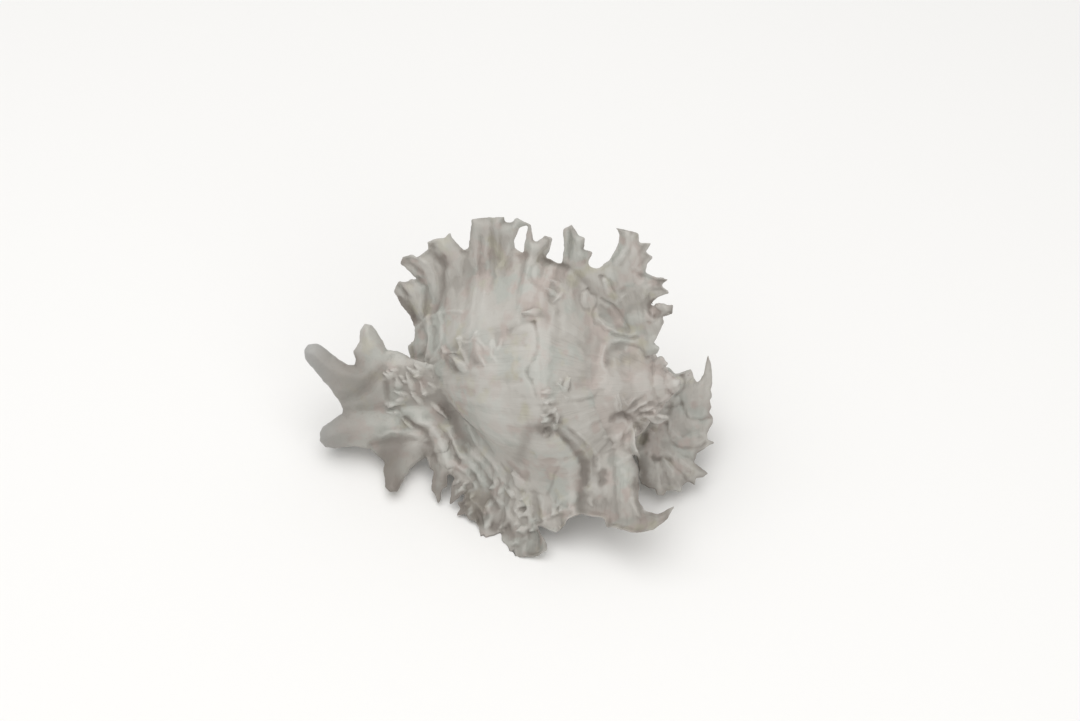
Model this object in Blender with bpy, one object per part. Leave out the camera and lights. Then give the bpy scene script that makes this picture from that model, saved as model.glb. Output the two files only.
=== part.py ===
# Ramose murex, a sea shell, as one solid: the coiled whorls, their varices with
# leafy fronds, the siphonal canal with its spines, and the open aperture.
# It lies on two varices and the canal, with the outer lip up and the aperture behind.
#
# Sizes are in millimetres, and become metres where the mesh is made.
# A place on the shell is (back, radius, down): degrees counted from the outer lip
# against the growth, distance from the coiling axis, and distance below the apex.

import math

import bmesh
import bpy
import numpy as np
from mathutils import Matrix, Vector

MM = 0.001

# Driving dimensions
WHORL_RATIO = 1.75  # each whorl is this many times the size of the one before
WHORLS = 5.6
VARIX_STEP = 120.0  # degrees between varices
VARIX_RISE = 6.0
FOLD_RISE = 0.9  # the fold behind each frond
FROND_THICKNESS = 3.0
WEB_THICKNESS = 3.0
RIB_THICKNESS = 2.8
EDGE_THICKNESS = 1.9

# How the shell lies
APEX_PITCH = 15.4  # degrees that the apex end is raised
APEX_YAW = 16.0  # degrees that the apex end is turned to the front
LIP_LEAN = -12.9  # degrees that the lip leans to the back
APEX_HEIGHT = 68.0

# Outline of the body whorl at the lip, as (radius, down) from suture to neck
OUTLINE = (
    (27.0, 36.5),
    (37.0, 40.0),
    (47.0, 46.5),
    (55.0, 54.0),
    (60.5, 61.5),
    (60.5, 69.0),
    (58.5, 79.0),
    (55.0, 94.0),
    (47.0, 109.0),
    (36.0, 123.0),
    (25.0, 135.0),
    (17.0, 146.0),
)
# Hollow of the whorl at the lip, as (radius, down) round the aperture
APERTURE = (
    (46.5, 56.0),
    (54.0, 63.5),
    (55.5, 73.0),
    (53.5, 83.0),
    (50.0, 93.5),
    (43.0, 106.0),
    (33.0, 117.0),
    (23.0, 124.0),
    (15.0, 121.0),
    (11.0, 110.0),
    (12.0, 98.0),
    (16.0, 86.0),
    (23.0, 74.0),
    (33.0, 63.0),
)

# Where the folds of a varix run, as distances down the outline at the lip
FOLD_ROOTS = (50.0, 61.0, 74.0, 87.0, 100.0, 113.0, 126.0, 138.0)

# Camera of the photograph, through which traced outlines are carried to the shell
CAMERA_TILT = 45.0  # degrees that it looks down
CAMERA_DISTANCE = 1300.0
CAMERA_RIGHT = -71.0  # its aim, from the apex
CAMERA_UP = 12.25
MIDDLE_PIXEL = (540.0, 360.5)
PIXEL = 0.4998  # size of a pixel at the aim

# Mesh steps
TRACE_STEP = 2.0  # pixels
WHORL_STEP = 5.0  # degrees
OUTLINE_STEPS = 44
VOXEL = 0.9
MOST_TRIANGLES = 8600


def whorl_scale(back):
    """Size of the whorl that many degrees before the lip."""
    return WHORL_RATIO ** (-back / 360.0)


def lying_axes():
    """Unit vectors of the lying shell: to the apex, up across it, and to the front."""
    pitch, yaw = math.radians(APEX_PITCH), math.radians(APEX_YAW)
    to_apex = Vector((math.cos(pitch) * math.cos(yaw), -math.cos(pitch) * math.sin(yaw), math.sin(pitch)))
    upward = (Vector((0, 0, 1)) - to_apex * to_apex.z).normalized()
    return np.array(to_apex), np.array(upward), np.array(to_apex.cross(upward))


TO_APEX, UPWARD, FRONTWARD = lying_axes()


def place(back, radius, down):
    """World points, in millimetres, of shell places."""
    turn = np.radians(LIP_LEAN + np.asarray(back, float))[..., None]
    radius = np.asarray(radius, float)[..., None]
    down = np.asarray(down, float)[..., None]
    outward = np.cos(turn) * UPWARD + np.sin(turn) * FRONTWARD
    return outward * radius - down * TO_APEX + np.array((0, 0, APEX_HEIGHT))


def growth_direction(back):
    """Unit vector in which the shell grows at that angle."""
    turn = math.radians(LIP_LEAN + back)
    return math.sin(turn) * UPWARD - math.cos(turn) * FRONTWARD


def smooth_line(points, count, closed=False):
    """Points evenly spaced along a smooth curve through the given ones."""
    points = np.array(points, float)
    n = len(points)
    if closed:
        around = np.concatenate([points[-1:], points, points[:2]])
    else:
        around = np.concatenate([2 * points[:1] - points[1:2], points, 2 * points[-1:] - points[-2:-1]])
    spans = n if closed else n - 1
    s = np.linspace(0, 1, 12, endpoint=False)[:, None]
    dense = []
    for i in range(spans):
        a, b, c, d = around[i : i + 4]
        square, cube = 2 * a - 5 * b + 4 * c - d, 3 * b - a - 3 * c + d
        dense.append(0.5 * (2 * b + (c - a) * s + square * s**2 + cube * s**3))
    dense.append(points[:1] if closed else points[-1:])
    dense = np.concatenate(dense)
    length = np.concatenate([[0], np.cumsum(np.linalg.norm(np.diff(dense, axis=0), axis=1))])
    wanted = np.linspace(0, length[-1], count, endpoint=not closed)
    return np.stack([np.interp(wanted, length, dense[:, i]) for i in range(dense.shape[1])], axis=1)


OUTLINE_LINE = smooth_line(OUTLINE, OUTLINE_STEPS)


def outline_radius(down):
    """Radius of the body whorl's outline at the lip, that far below the apex."""
    return np.interp(down, OUTLINE_LINE[:, 1], OUTLINE_LINE[:, 0])


def camera_axes():
    """Unit vectors of the photograph: to the camera and up the picture, and the camera's place."""
    tilt = math.radians(CAMERA_TILT)
    to_camera = np.array((0.0, -math.cos(tilt), math.sin(tilt)))
    overhead = np.array((0.0, math.sin(tilt), math.cos(tilt)))
    aim = np.array((CAMERA_RIGHT, 0.0, APEX_HEIGHT)) + overhead * CAMERA_UP
    return to_camera, overhead, aim + to_camera * CAMERA_DISTANCE


TO_CAMERA, OVERHEAD, EYE = camera_axes()
APEX = np.array((0.0, 0.0, APEX_HEIGHT))


def sight(pixels):
    """The way from the camera through pixels of the photograph."""
    across = (pixels[:, :1] - MIDDLE_PIXEL[0]) * PIXEL
    rise = (MIDDLE_PIXEL[1] - pixels[:, 1:]) * PIXEL
    return np.array((1.0, 0.0, 0.0)) * across + OVERHEAD * rise - TO_CAMERA * CAMERA_DISTANCE


def on_turn(pixels, turn):
    """Where lines of sight meet the half plane at a turn about the coiling axis."""
    angle = np.radians(LIP_LEAN + turn)[:, None]
    across = np.sin(angle) * UPWARD - np.cos(angle) * FRONTWARD
    way = sight(pixels)
    share = ((APEX - EYE) * across).sum(1) / (way * across).sum(1)
    points = EYE + way * share[:, None]
    outward = np.cos(angle) * UPWARD + np.sin(angle) * FRONTWARD
    return points, ((points - APEX) * outward).sum(1), -((points - APEX) @ TO_APEX)


def body_radius(turn, down):
    """Radius of the outermost whorl there, or 0 beyond them all."""
    best = np.zeros(len(down))
    for k in range(4):
        scale = whorl_scale(turn + 360.0 * k)
        at = down / scale
        in_reach = (at > 36.0) & (at < 150.0)
        best = np.maximum(best, np.where(in_reach, outline_radius(at) * scale, 0.0))
    return best


def varix_surface(pixels, foot, edge_turn, ease, sweep_down, sweep_share):
    """Points of a varix that leaves the whorl at its foot turn and eases over to its edge turn."""
    few, many = sorted((foot, edge_turn))
    low, high = np.full(len(pixels), few - 0.5), np.full(len(pixels), many + 0.5)
    for _ in range(24):
        turn = (low + high) / 2
        points, radius, down = on_turn(pixels, turn)
        gap = radius - body_radius(turn, down)
        sweep = (foot - edge_turn) * np.interp(down, sweep_down, sweep_share)
        past = turn > edge_turn + sweep * np.clip(1 - gap / ease, 0, 1) ** 2
        high, low = np.where(past, turn, high), np.where(past, low, turn)
    return points, turn, radius, down, gap


def inside_loop(pixels, loop):
    """Whether each pixel is inside a closed line."""
    x, y = pixels.T
    inside = np.zeros(len(x), bool)
    for (ax, ay), (bx, by) in zip(loop, np.roll(loop, -1, axis=0)):
        crosses = (ay > y) != (by > y)
        inside ^= crosses & (x < (bx - ax) * (y - ay) / (by - ay + 1e-12) + ax)
    return inside


def nearest_on(pixels, line):
    """Distance to the nearest place on a line, and that place."""
    best, spot = np.full(len(pixels), 1e9), pixels.copy()
    for a, b in zip(line[:-1], line[1:]):
        way = b - a
        share = np.clip(((pixels - a) @ way) / max(way @ way, 1e-9), 0, 1)
        at = a + share[:, None] * way
        gap = np.linalg.norm(pixels - at, axis=1)
        closer = gap < best
        best = np.where(closer, gap, best)
        spot[closer] = at[closer]
    return best, spot


def fill_loop(edge, inner, holes):
    """Square cells that fill a traced loop: their corners, the cells, and the sides on the border."""
    loop = np.concatenate([edge, np.array(inner, float)])
    low, high = loop.min(0), loop.max(0)
    x = np.arange(low[0] - TRACE_STEP, high[0] + TRACE_STEP, TRACE_STEP)
    y = np.arange(low[1] - TRACE_STEP, high[1] + TRACE_STEP, TRACE_STEP)
    i, j = np.meshgrid(np.arange(len(x) - 1), np.arange(len(y) - 1), indexing="ij")
    middles = np.stack([x[i].ravel(), y[j].ravel()], -1) + TRACE_STEP / 2
    keep = inside_loop(middles, loop)
    for hole in holes:
        keep &= ~inside_loop(middles, hole)
    i, j = i.ravel()[keep], j.ravel()[keep]
    wide = len(y)
    cells = np.stack([i * wide + j, (i + 1) * wide + j, (i + 1) * wide + j + 1, i * wide + j + 1], -1)
    used, cells = np.unique(cells, return_inverse=True)
    cells = cells.reshape(-1, 4)
    pixels = np.stack([x[used // wide], y[used % wide]], -1)
    sides = np.concatenate([cells[:, [k, (k + 1) % 4]] for k in range(4)])
    pair = np.sort(sides, 1)
    _, where, times = np.unique(pair[:, 0] * len(used) + pair[:, 1], return_index=True, return_counts=True)
    border = sides[where[times == 1]]
    rim = np.unique(border)
    gap, spot = nearest_on(pixels[rim], np.concatenate([loop, loop[:1]]))
    for hole in holes:
        hole_gap, hole_spot = nearest_on(pixels[rim], np.concatenate([hole, hole[:1]]))
        spot = np.where((hole_gap < gap)[:, None], hole_spot, spot)
        gap = np.minimum(gap, hole_gap)
    pixels[rim] = spot
    return pixels, cells, border


def to_free_edge(pixels, edge, holes):
    """Distance in millimetres to the outer edge or a hole."""
    gap = nearest_on(pixels, edge)[0]
    for hole in holes:
        gap = np.minimum(gap, nearest_on(pixels, np.concatenate([hole, hole[:1]]))[0])
    return gap * PIXEL


class Solids:
    """Closed meshes that are later fused into one."""

    def __init__(self):
        self.points, self.faces, self.count = [], [], 0

    def add(self, points, faces):
        self.points.append(np.asarray(points, float))
        self.faces += [tuple(self.count + i for i in face) for face in faces]
        self.count += len(points)

    def add_rings(self, rings):
        """A closed solid through rings of equal count, each ring a closed loop."""
        rings = np.asarray(rings, float)
        n, m, _ = rings.shape
        points = np.concatenate([rings.reshape(-1, 3), [rings[0].mean(0)], [rings[-1].mean(0)]])
        faces = []
        for j in range(m):
            k = (j + 1) % m
            faces += [(i * m + j, i * m + k, (i + 1) * m + k, (i + 1) * m + j) for i in range(n - 1)]
            faces += [(n * m, k, j), (n * m + 1, (n - 1) * m + j, (n - 1) * m + k)]
        self.add(points, faces)

    def add_sheet(self, front, behind):
        """A closed solid between two grids of points of the same shape."""
        n, m, _ = front.shape
        rim = [(0, j) for j in range(m)] + [(i, m - 1) for i in range(1, n)]
        rim += [(n - 1, j) for j in range(m - 2, -1, -1)] + [(i, 0) for i in range(n - 2, 0, -1)]
        at = [i * m + j for i, j in rim]
        side = n * m
        faces = []
        for i in range(n - 1):
            for j in range(m - 1):
                a, b, c, d = i * m + j, i * m + j + 1, (i + 1) * m + j + 1, (i + 1) * m + j
                faces += [(a, b, c, d), (side + d, side + c, side + b, side + a)]
        for a, b in zip(at, at[1:] + at[:1]):
            faces.append((b, a, side + a, side + b))
        self.add(np.concatenate([front.reshape(-1, 3), behind.reshape(-1, 3)]), faces)

    def add_skins(self, front, behind, cells, border):
        """A closed solid of two skins over the same cells, joined round their border."""
        n = len(front)
        rim = np.stack([border[:, 1], border[:, 0], border[:, 0] + n, border[:, 1] + n], -1)
        faces = np.concatenate([cells, cells[:, ::-1] + n, rim]).tolist()
        self.add(np.concatenate([front, behind]), faces)


def varix_swell(back):
    """How far a varix swells there: a slow rise up to 1, a steep front and a dip before it."""
    nearest = np.round(np.asarray(back, float) / VARIX_STEP) * VARIX_STEP
    before = np.asarray(back, float) - nearest
    rise = np.exp(-((before / np.where(before > 0, 15.0, 4.5)) ** 2))
    return rise - 0.2 * np.exp(-(((before + 13.0) / 6.0) ** 2))


def node_swell(back, down):
    """The low shoulder knob midway between two varices, from 0 to 1."""
    middle = (np.asarray(back, float) + VARIX_STEP / 2) % VARIX_STEP - VARIX_STEP / 2
    off = VARIX_STEP / 2 - np.abs(middle)
    return np.exp(-((off / 13.0) ** 2)) * np.exp(-(((down - 60.0) / 13.0) ** 2))


def fold_swell(back, down):
    """The folds that run back from the fronds of a varix over the whorl, from 0 to 1."""
    before = (back + VARIX_STEP / 4) % VARIX_STEP - VARIX_STEP / 4
    fade = np.exp(-((before / (26.0 if before > 0 else 6.0)) ** 2))
    return fade * sum(np.exp(-(((down - root) / 4.0) ** 2)) for root in FOLD_ROOTS)


def whorls(solids):
    """The coiled outside: an outline swept round the axis, its varices swelling."""
    backs = np.arange(WHORLS * 360.0, -WHORL_STEP / 2, -WHORL_STEP)
    radius, down = OUTLINE_LINE[:, 0], OUTLINE_LINE[:, 1]
    near_suture = np.clip((down - OUTLINE[0][1]) / 8.0, 0, 1)
    rings = []
    for back in backs:
        scale = whorl_scale(back)
        out = VARIX_RISE * varix_swell(back) * (0.35 + 0.65 * near_suture)
        out = out + FOLD_RISE * fold_swell(back, down) + 3.0 * node_swell(back, down)
        loop_radius = np.concatenate([(radius + out) * scale, [0.6 * scale, 0.6 * scale]])
        loop_down = np.concatenate([down * scale, [down[-1] * scale, down[0] * scale * 0.72]])
        rings.append(place(np.full(len(loop_down), back), loop_radius, loop_down))
    solids.add_rings(rings)


def tube(solids, centres, across, deep, side, sides=14):
    """A solid along a line of points, with half-widths across and deep at each."""
    centres = np.asarray(centres, float)
    along = np.gradient(centres, axis=0)
    along /= np.linalg.norm(along, axis=1)[:, None]
    side = np.asarray(side, float) - along * (along @ np.asarray(side, float))[:, None]
    side /= np.linalg.norm(side, axis=1)[:, None]
    other = np.cross(along, side)
    angle = np.linspace(0, 2 * math.pi, sides, endpoint=False)
    ring = np.cos(angle)[None, :, None] * side[:, None] * np.asarray(across)[:, None, None]
    ring = ring + np.sin(angle)[None, :, None] * other[:, None] * np.asarray(deep)[:, None, None]
    solids.add_rings(centres[:, None] + ring)


def frond(
    solids, back, root, tip, half_widths, curl, teeth, nicks, bow, seed, side=None, facing=None, sunk=0.0
):
    """A leafy spine: a gutter that springs from a varix and ends in teeth.

    It opens to the growth, or to the way given as facing, and spreads along the axis or side.
    root is how far down the outline at the lip it stands. tip is (turn, radius, down),
    its end, where turn is counted back from the varix. half_widths are at root, middle and end.
    """
    steps_along, steps_across = 13, 12
    chance = np.random.default_rng(seed)
    scale = whorl_scale(back)
    start = place(back, (outline_radius(root) + 0.3 * VARIX_RISE - sunk) * scale, root * scale)
    end = place(back + tip[0], tip[1], tip[2])
    outward = place(back, 1.0, 0.0) - place(back, 0.0, 0.0)
    reach = np.linalg.norm(end - start)
    bend = start + outward * reach * bow
    u = np.linspace(-0.12, 1.0, steps_along)
    v = np.linspace(-1.0, 1.0, steps_across)
    # teeth: each column of the sheet ends a little further or nearer
    tooth = np.abs((v * teeth / 2.0) % 1.0 - 0.5) * 2.0
    length = 0.93 + (0.15 * tooth + 0.05 * chance.uniform(-1, 1, steps_across) - 0.08 * v**2)[None, :]
    along = u[:, None] * np.where(u[:, None] > 0, length, 1.0)
    one = 1.0 - along
    centre = (one**2)[..., None] * start + (2 * along * one)[..., None] * bend + (along**2)[..., None] * end
    tangent = (2 * one)[..., None] * (bend - start) + (2 * along)[..., None] * (end - bend)
    tangent /= np.linalg.norm(tangent, axis=2)[..., None]
    side = -TO_APEX if side is None else side
    side = side - tangent * (tangent @ side)[..., None]
    side /= np.linalg.norm(side, axis=2)[..., None]
    forward = np.cross(side, tangent)
    forward *= np.sign((forward @ (growth_direction(back) if facing is None else facing)).mean())
    width = np.interp(u, (0.0, 0.5, 1.0), half_widths)
    nick = 1.0 + 0.22 * np.abs((u * nicks) % 1.0 - 0.5) * 2.0 * np.clip(u * 2 - 0.6, 0, 1)
    width = (width * nick)[:, None]
    arc = np.radians(np.interp(u, (0.0, 1.0), (curl, curl * 0.6)))[:, None]
    across = width * np.sin(arc * v) / np.sin(np.minimum(arc, math.pi / 2))
    fold = -width * (np.cos(arc * v) - np.cos(arc)) / np.sin(np.minimum(arc, math.pi / 2))
    middle = centre + side * across[..., None] + forward * fold[..., None]
    du, dv = np.gradient(middle, axis=0), np.gradient(middle, axis=1)
    normal = np.cross(dv, du)
    normal /= np.linalg.norm(normal, axis=2)[..., None]
    thick = FROND_THICKNESS * (1.0 - 0.2 * np.clip(u, 0, 1))[:, None] * (1.0 - 0.15 * v**2)[None, :]
    half = normal * thick[..., None] / 2
    solids.add_sheet(middle + half, middle - half)


def web(solids, back, edge, bow=0.5, seed=0):
    """The fluted flange that joins the fronds of a varix.

    edge is a row of (root, turn, radius, down): from that root on the outline the flange
    reaches the place at that turn, radius and distance down.
    """
    steps_along, steps_across = 10, 60
    chance = np.random.default_rng(seed)
    scale = whorl_scale(back)
    edge = smooth_line(edge, steps_across)
    root, turn, radius, down = edge.T
    foot = (outline_radius(root) + 0.2 * VARIX_RISE) * scale
    start = place(np.full(steps_across, back), foot, root * scale)
    ragged = 1.0 + 0.03 * chance.uniform(-1, 1, steps_across)
    end = place(back + turn, radius * ragged, down)
    outward = place(back, 1.0, 0.0) - place(back, 0.0, 0.0)
    reach = np.linalg.norm(end - start, axis=1)[:, None]
    bend = start + outward * reach * bow
    along = np.linspace(-0.2, 1.0, steps_along)[:, None, None]
    one = 1.0 - along
    middle = one**2 * start + 2 * along * one * bend + along**2 * end
    flute = np.cos(2 * math.pi * root / 12.7) + 0.5 * np.cos(2 * math.pi * root / 5.1 + seed)
    middle = middle + growth_direction(back) * (1.7 * flute[None, :, None] * np.clip(along, 0, 1))
    du, dv = np.gradient(middle, axis=0), np.gradient(middle, axis=1)
    normal = np.cross(dv, du)
    normal /= np.linalg.norm(normal, axis=2)[..., None]
    half = normal * WEB_THICKNESS / 2 * (1.25 - 0.4 * np.clip(along, 0, 1))
    solids.add_sheet(middle + half, middle - half)


# Traced edges, in pixels of the photograph, clockwise from the canal side. The free edge comes
# first, then the line inside the whorl that closes the loop.
LIP_EDGE = (
    (413, 356), (412, 345), (415, 331), (410, 316), (400.5, 305), (393, 290.5), (398.5, 281), (405, 282),
    (416, 279), (409, 272), (399, 263), (402, 257.5), (410.5, 254.5), (416, 257.5), (427, 250), (427, 242.5),
    (445, 237.5), (450, 232.5), (452, 237.5), (463.5, 250), (468.5, 247), (470, 233), (471.5, 218.5),
    (504, 216), (504.5, 221.5), (517, 218), (531, 224.5), (535.5, 241), (545, 235), (552.5, 239.5),
    (550, 249), (545.5, 257.5), (561, 264), (564, 247.5), (563, 230), (571.5, 224.5), (578.5, 234.5),
    (585, 237.5), (584, 249), (593, 252), (588.5, 266), (598.5, 268), (610, 259), (618.5, 244.5),
    (619.5, 234.5), (616, 226), (638.5, 233), (639.5, 243), (652, 242.5), (646, 252), (654, 257.5),
    (646, 268), (656, 277.5), (669, 279), (661.5, 286), (670, 293), (657.5, 297.5), (650, 306), (673, 305),
    (673, 313.5), (663, 317.5), (664.5, 323.5), (659, 333.5),
)
LIP_INNER = ((648, 352), (600, 352), (560, 345), (500, 350), (455, 372), (425, 372))
LIP_HOLE = ((515.5, 248), (513.5, 240), (519, 228), (528, 224.5), (525, 240), (523, 253))
LOWER_EDGE = (
    (424, 446), (430, 468.5), (434, 471), (431, 489), (434, 493), (438, 503), (441, 498.5), (441.5, 489),
    (447.5, 486.5), (447.5, 476), (450, 473), (455, 479), (451.5, 485), (449, 506), (457, 499), (463.5, 493),
    (464.5, 496.5), (457, 503), (460.5, 508.5), (456, 515.5), (465, 514), (468.5, 520), (475.5, 521),
    (481, 538.5), (487, 544), (496, 545.5), (508.5, 555.5), (524, 557), (537, 555.5), (547, 550),
    (547, 543.5), (540.5, 533.5), (536.5, 525), (543.5, 527), (555.5, 533), (561.5, 529.5), (568.5, 518),
    (581.5, 514), (602.5, 518), (606, 527), (616.5, 528), (635.5, 533), (653, 530), (666, 520),
    (675.5, 505), (657.5, 514), (644.5, 510), (638.5, 500), (640, 485.5),
)
LOWER_INNER = (
    (638, 466), (626, 446), (608, 428), (580, 424), (520, 424), (475, 414), (452, 406), (434, 408), (422, 424),
)
BACK_EDGE = (
    (640, 485.5), (647, 488.5), (660, 494), (680, 491.5), (683, 484), (694.5, 485.5), (696, 477),
    (706, 472.5), (696, 461), (702, 445.5), (715.5, 443), (706, 437), (713.5, 419.5), (709, 405),
    (713.5, 388), (712, 376.5), (707.5, 356.5), (702, 379.5), (696, 385), (692, 371), (684.5, 373.5),
    (676, 373.5),
)
BACK_INNER = ((658, 374), (634, 368), (616, 386), (628, 424), (638, 462))
CANAL_EDGE = (
    (410.5, 357.5), (397, 351), (386.5, 350), (382.5, 340.5), (372, 325), (365, 323.5), (360, 330.5),
    (359.5, 342), (353.5, 351), (355.5, 365.5), (347.5, 365), (334, 356), (323.5, 347.5), (317, 343.5),
    (308.5, 344), (303.5, 350), (303.5, 357), (314, 370), (337, 398), (343, 409), (342, 413.5), (334, 419),
    (323.5, 426.5), (320, 433), (320, 441), (325, 447), (334, 448.5), (354, 446.5), (370.5, 449),
    (384.5, 463), (383.5, 472), (385, 487), (389, 492), (397.5, 491.5), (405, 477), (413.5, 465.5),
    (425, 458),
)
CANAL_INNER = ((447, 448), (462, 420), (456, 388), (434, 366))
# How a varix leaves the whorl: its foot turn, edge turn, the height over which it eases, and
# the share of that sweep at two distances down
LIP_FORM = (37.0, 5.0, 19.0, (26.0, 52.0), (0.4, 1.0))
LOWER_FORM = (121.0, 137.0, 30.0, (0.0, 1.0), (1.0, 1.0))
LOWER_FILLET = (17.0, 14.0)  # turn and height of the fillet at its foot
# Furrows that end in the notches, as (pixel, depth, width)
LIP_FURROWS = (
    ((416, 279), 3.2, 3.4), ((428, 251), 3.0, 3.2), ((464, 250), 2.6, 3.2), ((546, 258), 3.0, 3.0),
    ((592, 266), 2.4, 3.0), ((646, 306), 2.2, 3.0),
)
LOWER_FURROWS = (
    ((536, 526), 3.4, 3.2), ((606, 524), 2.2, 3.0), ((464, 500), 2.6, 3.0), ((500, 530), 2.2, 3.0),
)
# Palms as a normal, a place on them, the height under which they bend up, the radius of their
# edge, and their half thickness at the edge and inside
CANAL_ROUND, CANAL_HALF = 8.5, (0.9, 8.0)
CANAL_THROUGH = (80.0, 18.0, 150.0)
CANAL_TURN = 78.0
CANAL_LEAN = 0.25  # how fast its plane leaves the coiling axis
CANAL_LOWEST = 4.5
BACK_ROUND, BACK_HALF = 3.0, (0.9, 1.5)
BACK_NORMAL = (0.0, -0.46, 0.89)
BACK_THROUGH = (-0.5, -14.0, 6.0)  # from below the apex
BACK_LOWEST = 3.0


def add_varix(solids, edge, inner, holes, form, furrows, fillet, curl):
    """A whole varix with its lobes, from its traced edge."""
    edge = np.array(edge, float)
    holes = [np.array(hole, float) for hole in holes]
    pixels, cells, border = fill_loop(edge, inner, holes)
    points, turn, radius, down, gap = varix_surface(pixels, *form)
    free = to_free_edge(pixels, edge, holes)
    sink = np.zeros(len(pixels))
    for spot, depth, wide in furrows:
        spot = np.array([spot], float)
        _, _, _, at_down, at_gap = varix_surface(spot, *form)
        share = np.clip(gap / max(at_gap[0], 1.0), 0, 1)
        sink += depth * np.exp(-(((down - at_down[0]) / wide) ** 2)) * share**1.3
    thin = EDGE_THICKNESS + (RIB_THICKNESS - EDGE_THICKNESS) * np.clip(free / 5.0, 0, 1)
    rolled = curl * np.clip(1 - free / 7.0, 0, 1) ** 2
    front = points - TO_CAMERA * (rolled + sink * np.clip(free / 2.5, 0.15, 1))[:, None]
    turned, height = fillet
    heel = np.where(form[1] < form[0], form[1], turn + turned * np.clip(1 - gap / height, 0, 1) ** 2)
    back = place(heel, radius, down) - place(turn, radius, down)
    solids.add_skins(front, front + back - TO_CAMERA * thin[:, None] * 1.2, cells, border)


def add_palm(solids, edge, inner, normal, through, lowest, edge_round, half, curl):
    """A palm that lies near one plane, from its traced edge. It bends up over the floor."""
    edge = np.array(edge, float)
    pixels, cells, border = fill_loop(edge, inner, [])
    way = sight(pixels)
    share = ((through - EYE) @ normal) / (way @ normal)
    depth = EYE[2] + way[:, 2] * share
    lifted = lowest + 3.0 * np.log1p(np.exp((depth - lowest) / 3.0))
    share = np.where(depth > lowest + 25.0, share, (lifted - EYE[2]) / way[:, 2])
    points = EYE + way * share[:, None]
    free = to_free_edge(pixels, edge, [])
    swell = np.sqrt(np.clip(1 - (1 - np.clip(free / edge_round, 0, 1)) ** 2, 0, 1))
    thick = half[0] + (half[1] - half[0]) * swell
    rolled = curl * np.clip(1 - free / 6.0, 0, 1) ** 2
    front = points + TO_CAMERA * (thick - rolled)[:, None]
    solids.add_skins(front, points - TO_CAMERA * (thick + rolled)[:, None], cells, border)


def traced_forms(solids):
    """The lip varix, the lower varix, the widest frond behind the spire, and the canal's palm."""
    add_varix(solids, LIP_EDGE, LIP_INNER, [LIP_HOLE], LIP_FORM, LIP_FURROWS, (0.0, 14.0), 3.4)
    add_varix(solids, LOWER_EDGE, LOWER_INNER, [], LOWER_FORM, LOWER_FURROWS, LOWER_FILLET, -2.6)
    normal = np.array(BACK_NORMAL)
    through = np.array(BACK_THROUGH)
    add_palm(solids, BACK_EDGE, BACK_INNER, normal, through, BACK_LOWEST, BACK_ROUND, BACK_HALF, -1.6)
    normal = place(CANAL_TURN, 1.0, 0.0) - place(CANAL_TURN, 0.0, 0.0) + CANAL_LEAN * TO_APEX
    through = place(*CANAL_THROUGH)
    add_palm(solids, CANAL_EDGE, CANAL_INNER, normal, through, CANAL_LOWEST, CANAL_ROUND, CANAL_HALF, 0.0)


# Edge of the hidden flange, as (root, turn, radius, down)
HIDDEN_WEB = (
    (150.0, 4.0, 27.0, 110.0),
    (130.0, 3.0, 44.0, 96.0),
    (112.0, 2.0, 56.0, 84.0),
    (90.0, 0.0, 66.0, 70.0),
    (72.0, -2.0, 70.0, 53.0),
    (58.0, -3.0, 68.0, 36.0),
    (46.0, -3.0, 50.0, 22.0),
)

# Fronds as (root, (turn, radius, down), half widths, curl, teeth, nicks, bow)
HIDDEN_FRONDS = (
    (143.0, (4, 44, 114), (3.0, 3.0, 2.5), 60, 2, 2, 0.4),
    (129.0, (3, 55, 103), (4.0, 4.0, 4.0), 65, 2, 2, 0.5),
    (114.0, (2, 68, 92), (5.0, 5.0, 6.0), 70, 3, 2, 0.5),
    (98.0, (0, 77, 80), (6.0, 6.0, 7.0), 70, 3, 2, 0.5),
    (82.0, (-2, 84, 65), (7.0, 6.5, 7.5), 75, 4, 2, 0.5),
    (67.0, (-2, 86, 47), (7.0, 6.5, 7.5), 75, 4, 2, 0.5),
)
SPIRE_FRONDS = (
    (360.0, 51.0, (2, 59, -1), (7.0, 9.0, 9.0), 60, 4, 3, 0.4),
    (360.0, 64.0, (8, 55, 22), (4.0, 4.0, 4.5), 70, 2, 2, 0.5),
    (480.0, 52.0, (10, 37, 26), (4.0, 5.0, 6.5), 60, 3, 1, 0.5),
    (600.0, 52.0, (5, 34, 8), (4.0, 4.0, 4.0), 65, 2, 2, 0.5),
    (720.0, 56.0, (0, 27, 10), (5.0, 6.0, 6.0), 40, 3, 1, 0.3),
    (1080.0, 56.0, (0, 16, 6), (3.0, 3.0, 3.0), 40, 2, 1, 0.3),
    (840.0, 52.0, (5, 19, 5), (2.5, 2.5, 2.5), 65, 2, 1, 0.5),
)


# Ridges over the body whorl, as (half width, rise, places), each place (back, root)
RIDGES = (
    (3.0, 1.6, ((10, 68), (21, 63), (30, 60), (37, 59.5), (46, 60.5), (54, 66), (60, 62.5), (66, 61))),
    (3.2, 1.8, ((62, 62), (73, 62), (80, 61.5), (93, 55), (109, 50.5), (119, 48.5))),
    (2.2, 1.2, ((58, 141), (42, 126), (41, 115), (40, 104), (41, 96), (42, 86), (33, 75), (28, 66))),
)


def ridges(solids):
    """Raised lines over the body whorl: the wavy shoulder and the oblique row between varices."""
    for width, rise, line in RIDGES:
        back, root = smooth_line(line, 24).T
        scale = whorl_scale(back)
        centres = place(back, (outline_radius(root) + rise - width) * scale, root * scale)
        thick = width * np.sin(np.linspace(0.35, math.pi - 0.35, 24)) ** 0.5
        tube(solids, centres, thick, thick, TO_APEX, 8)


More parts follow.
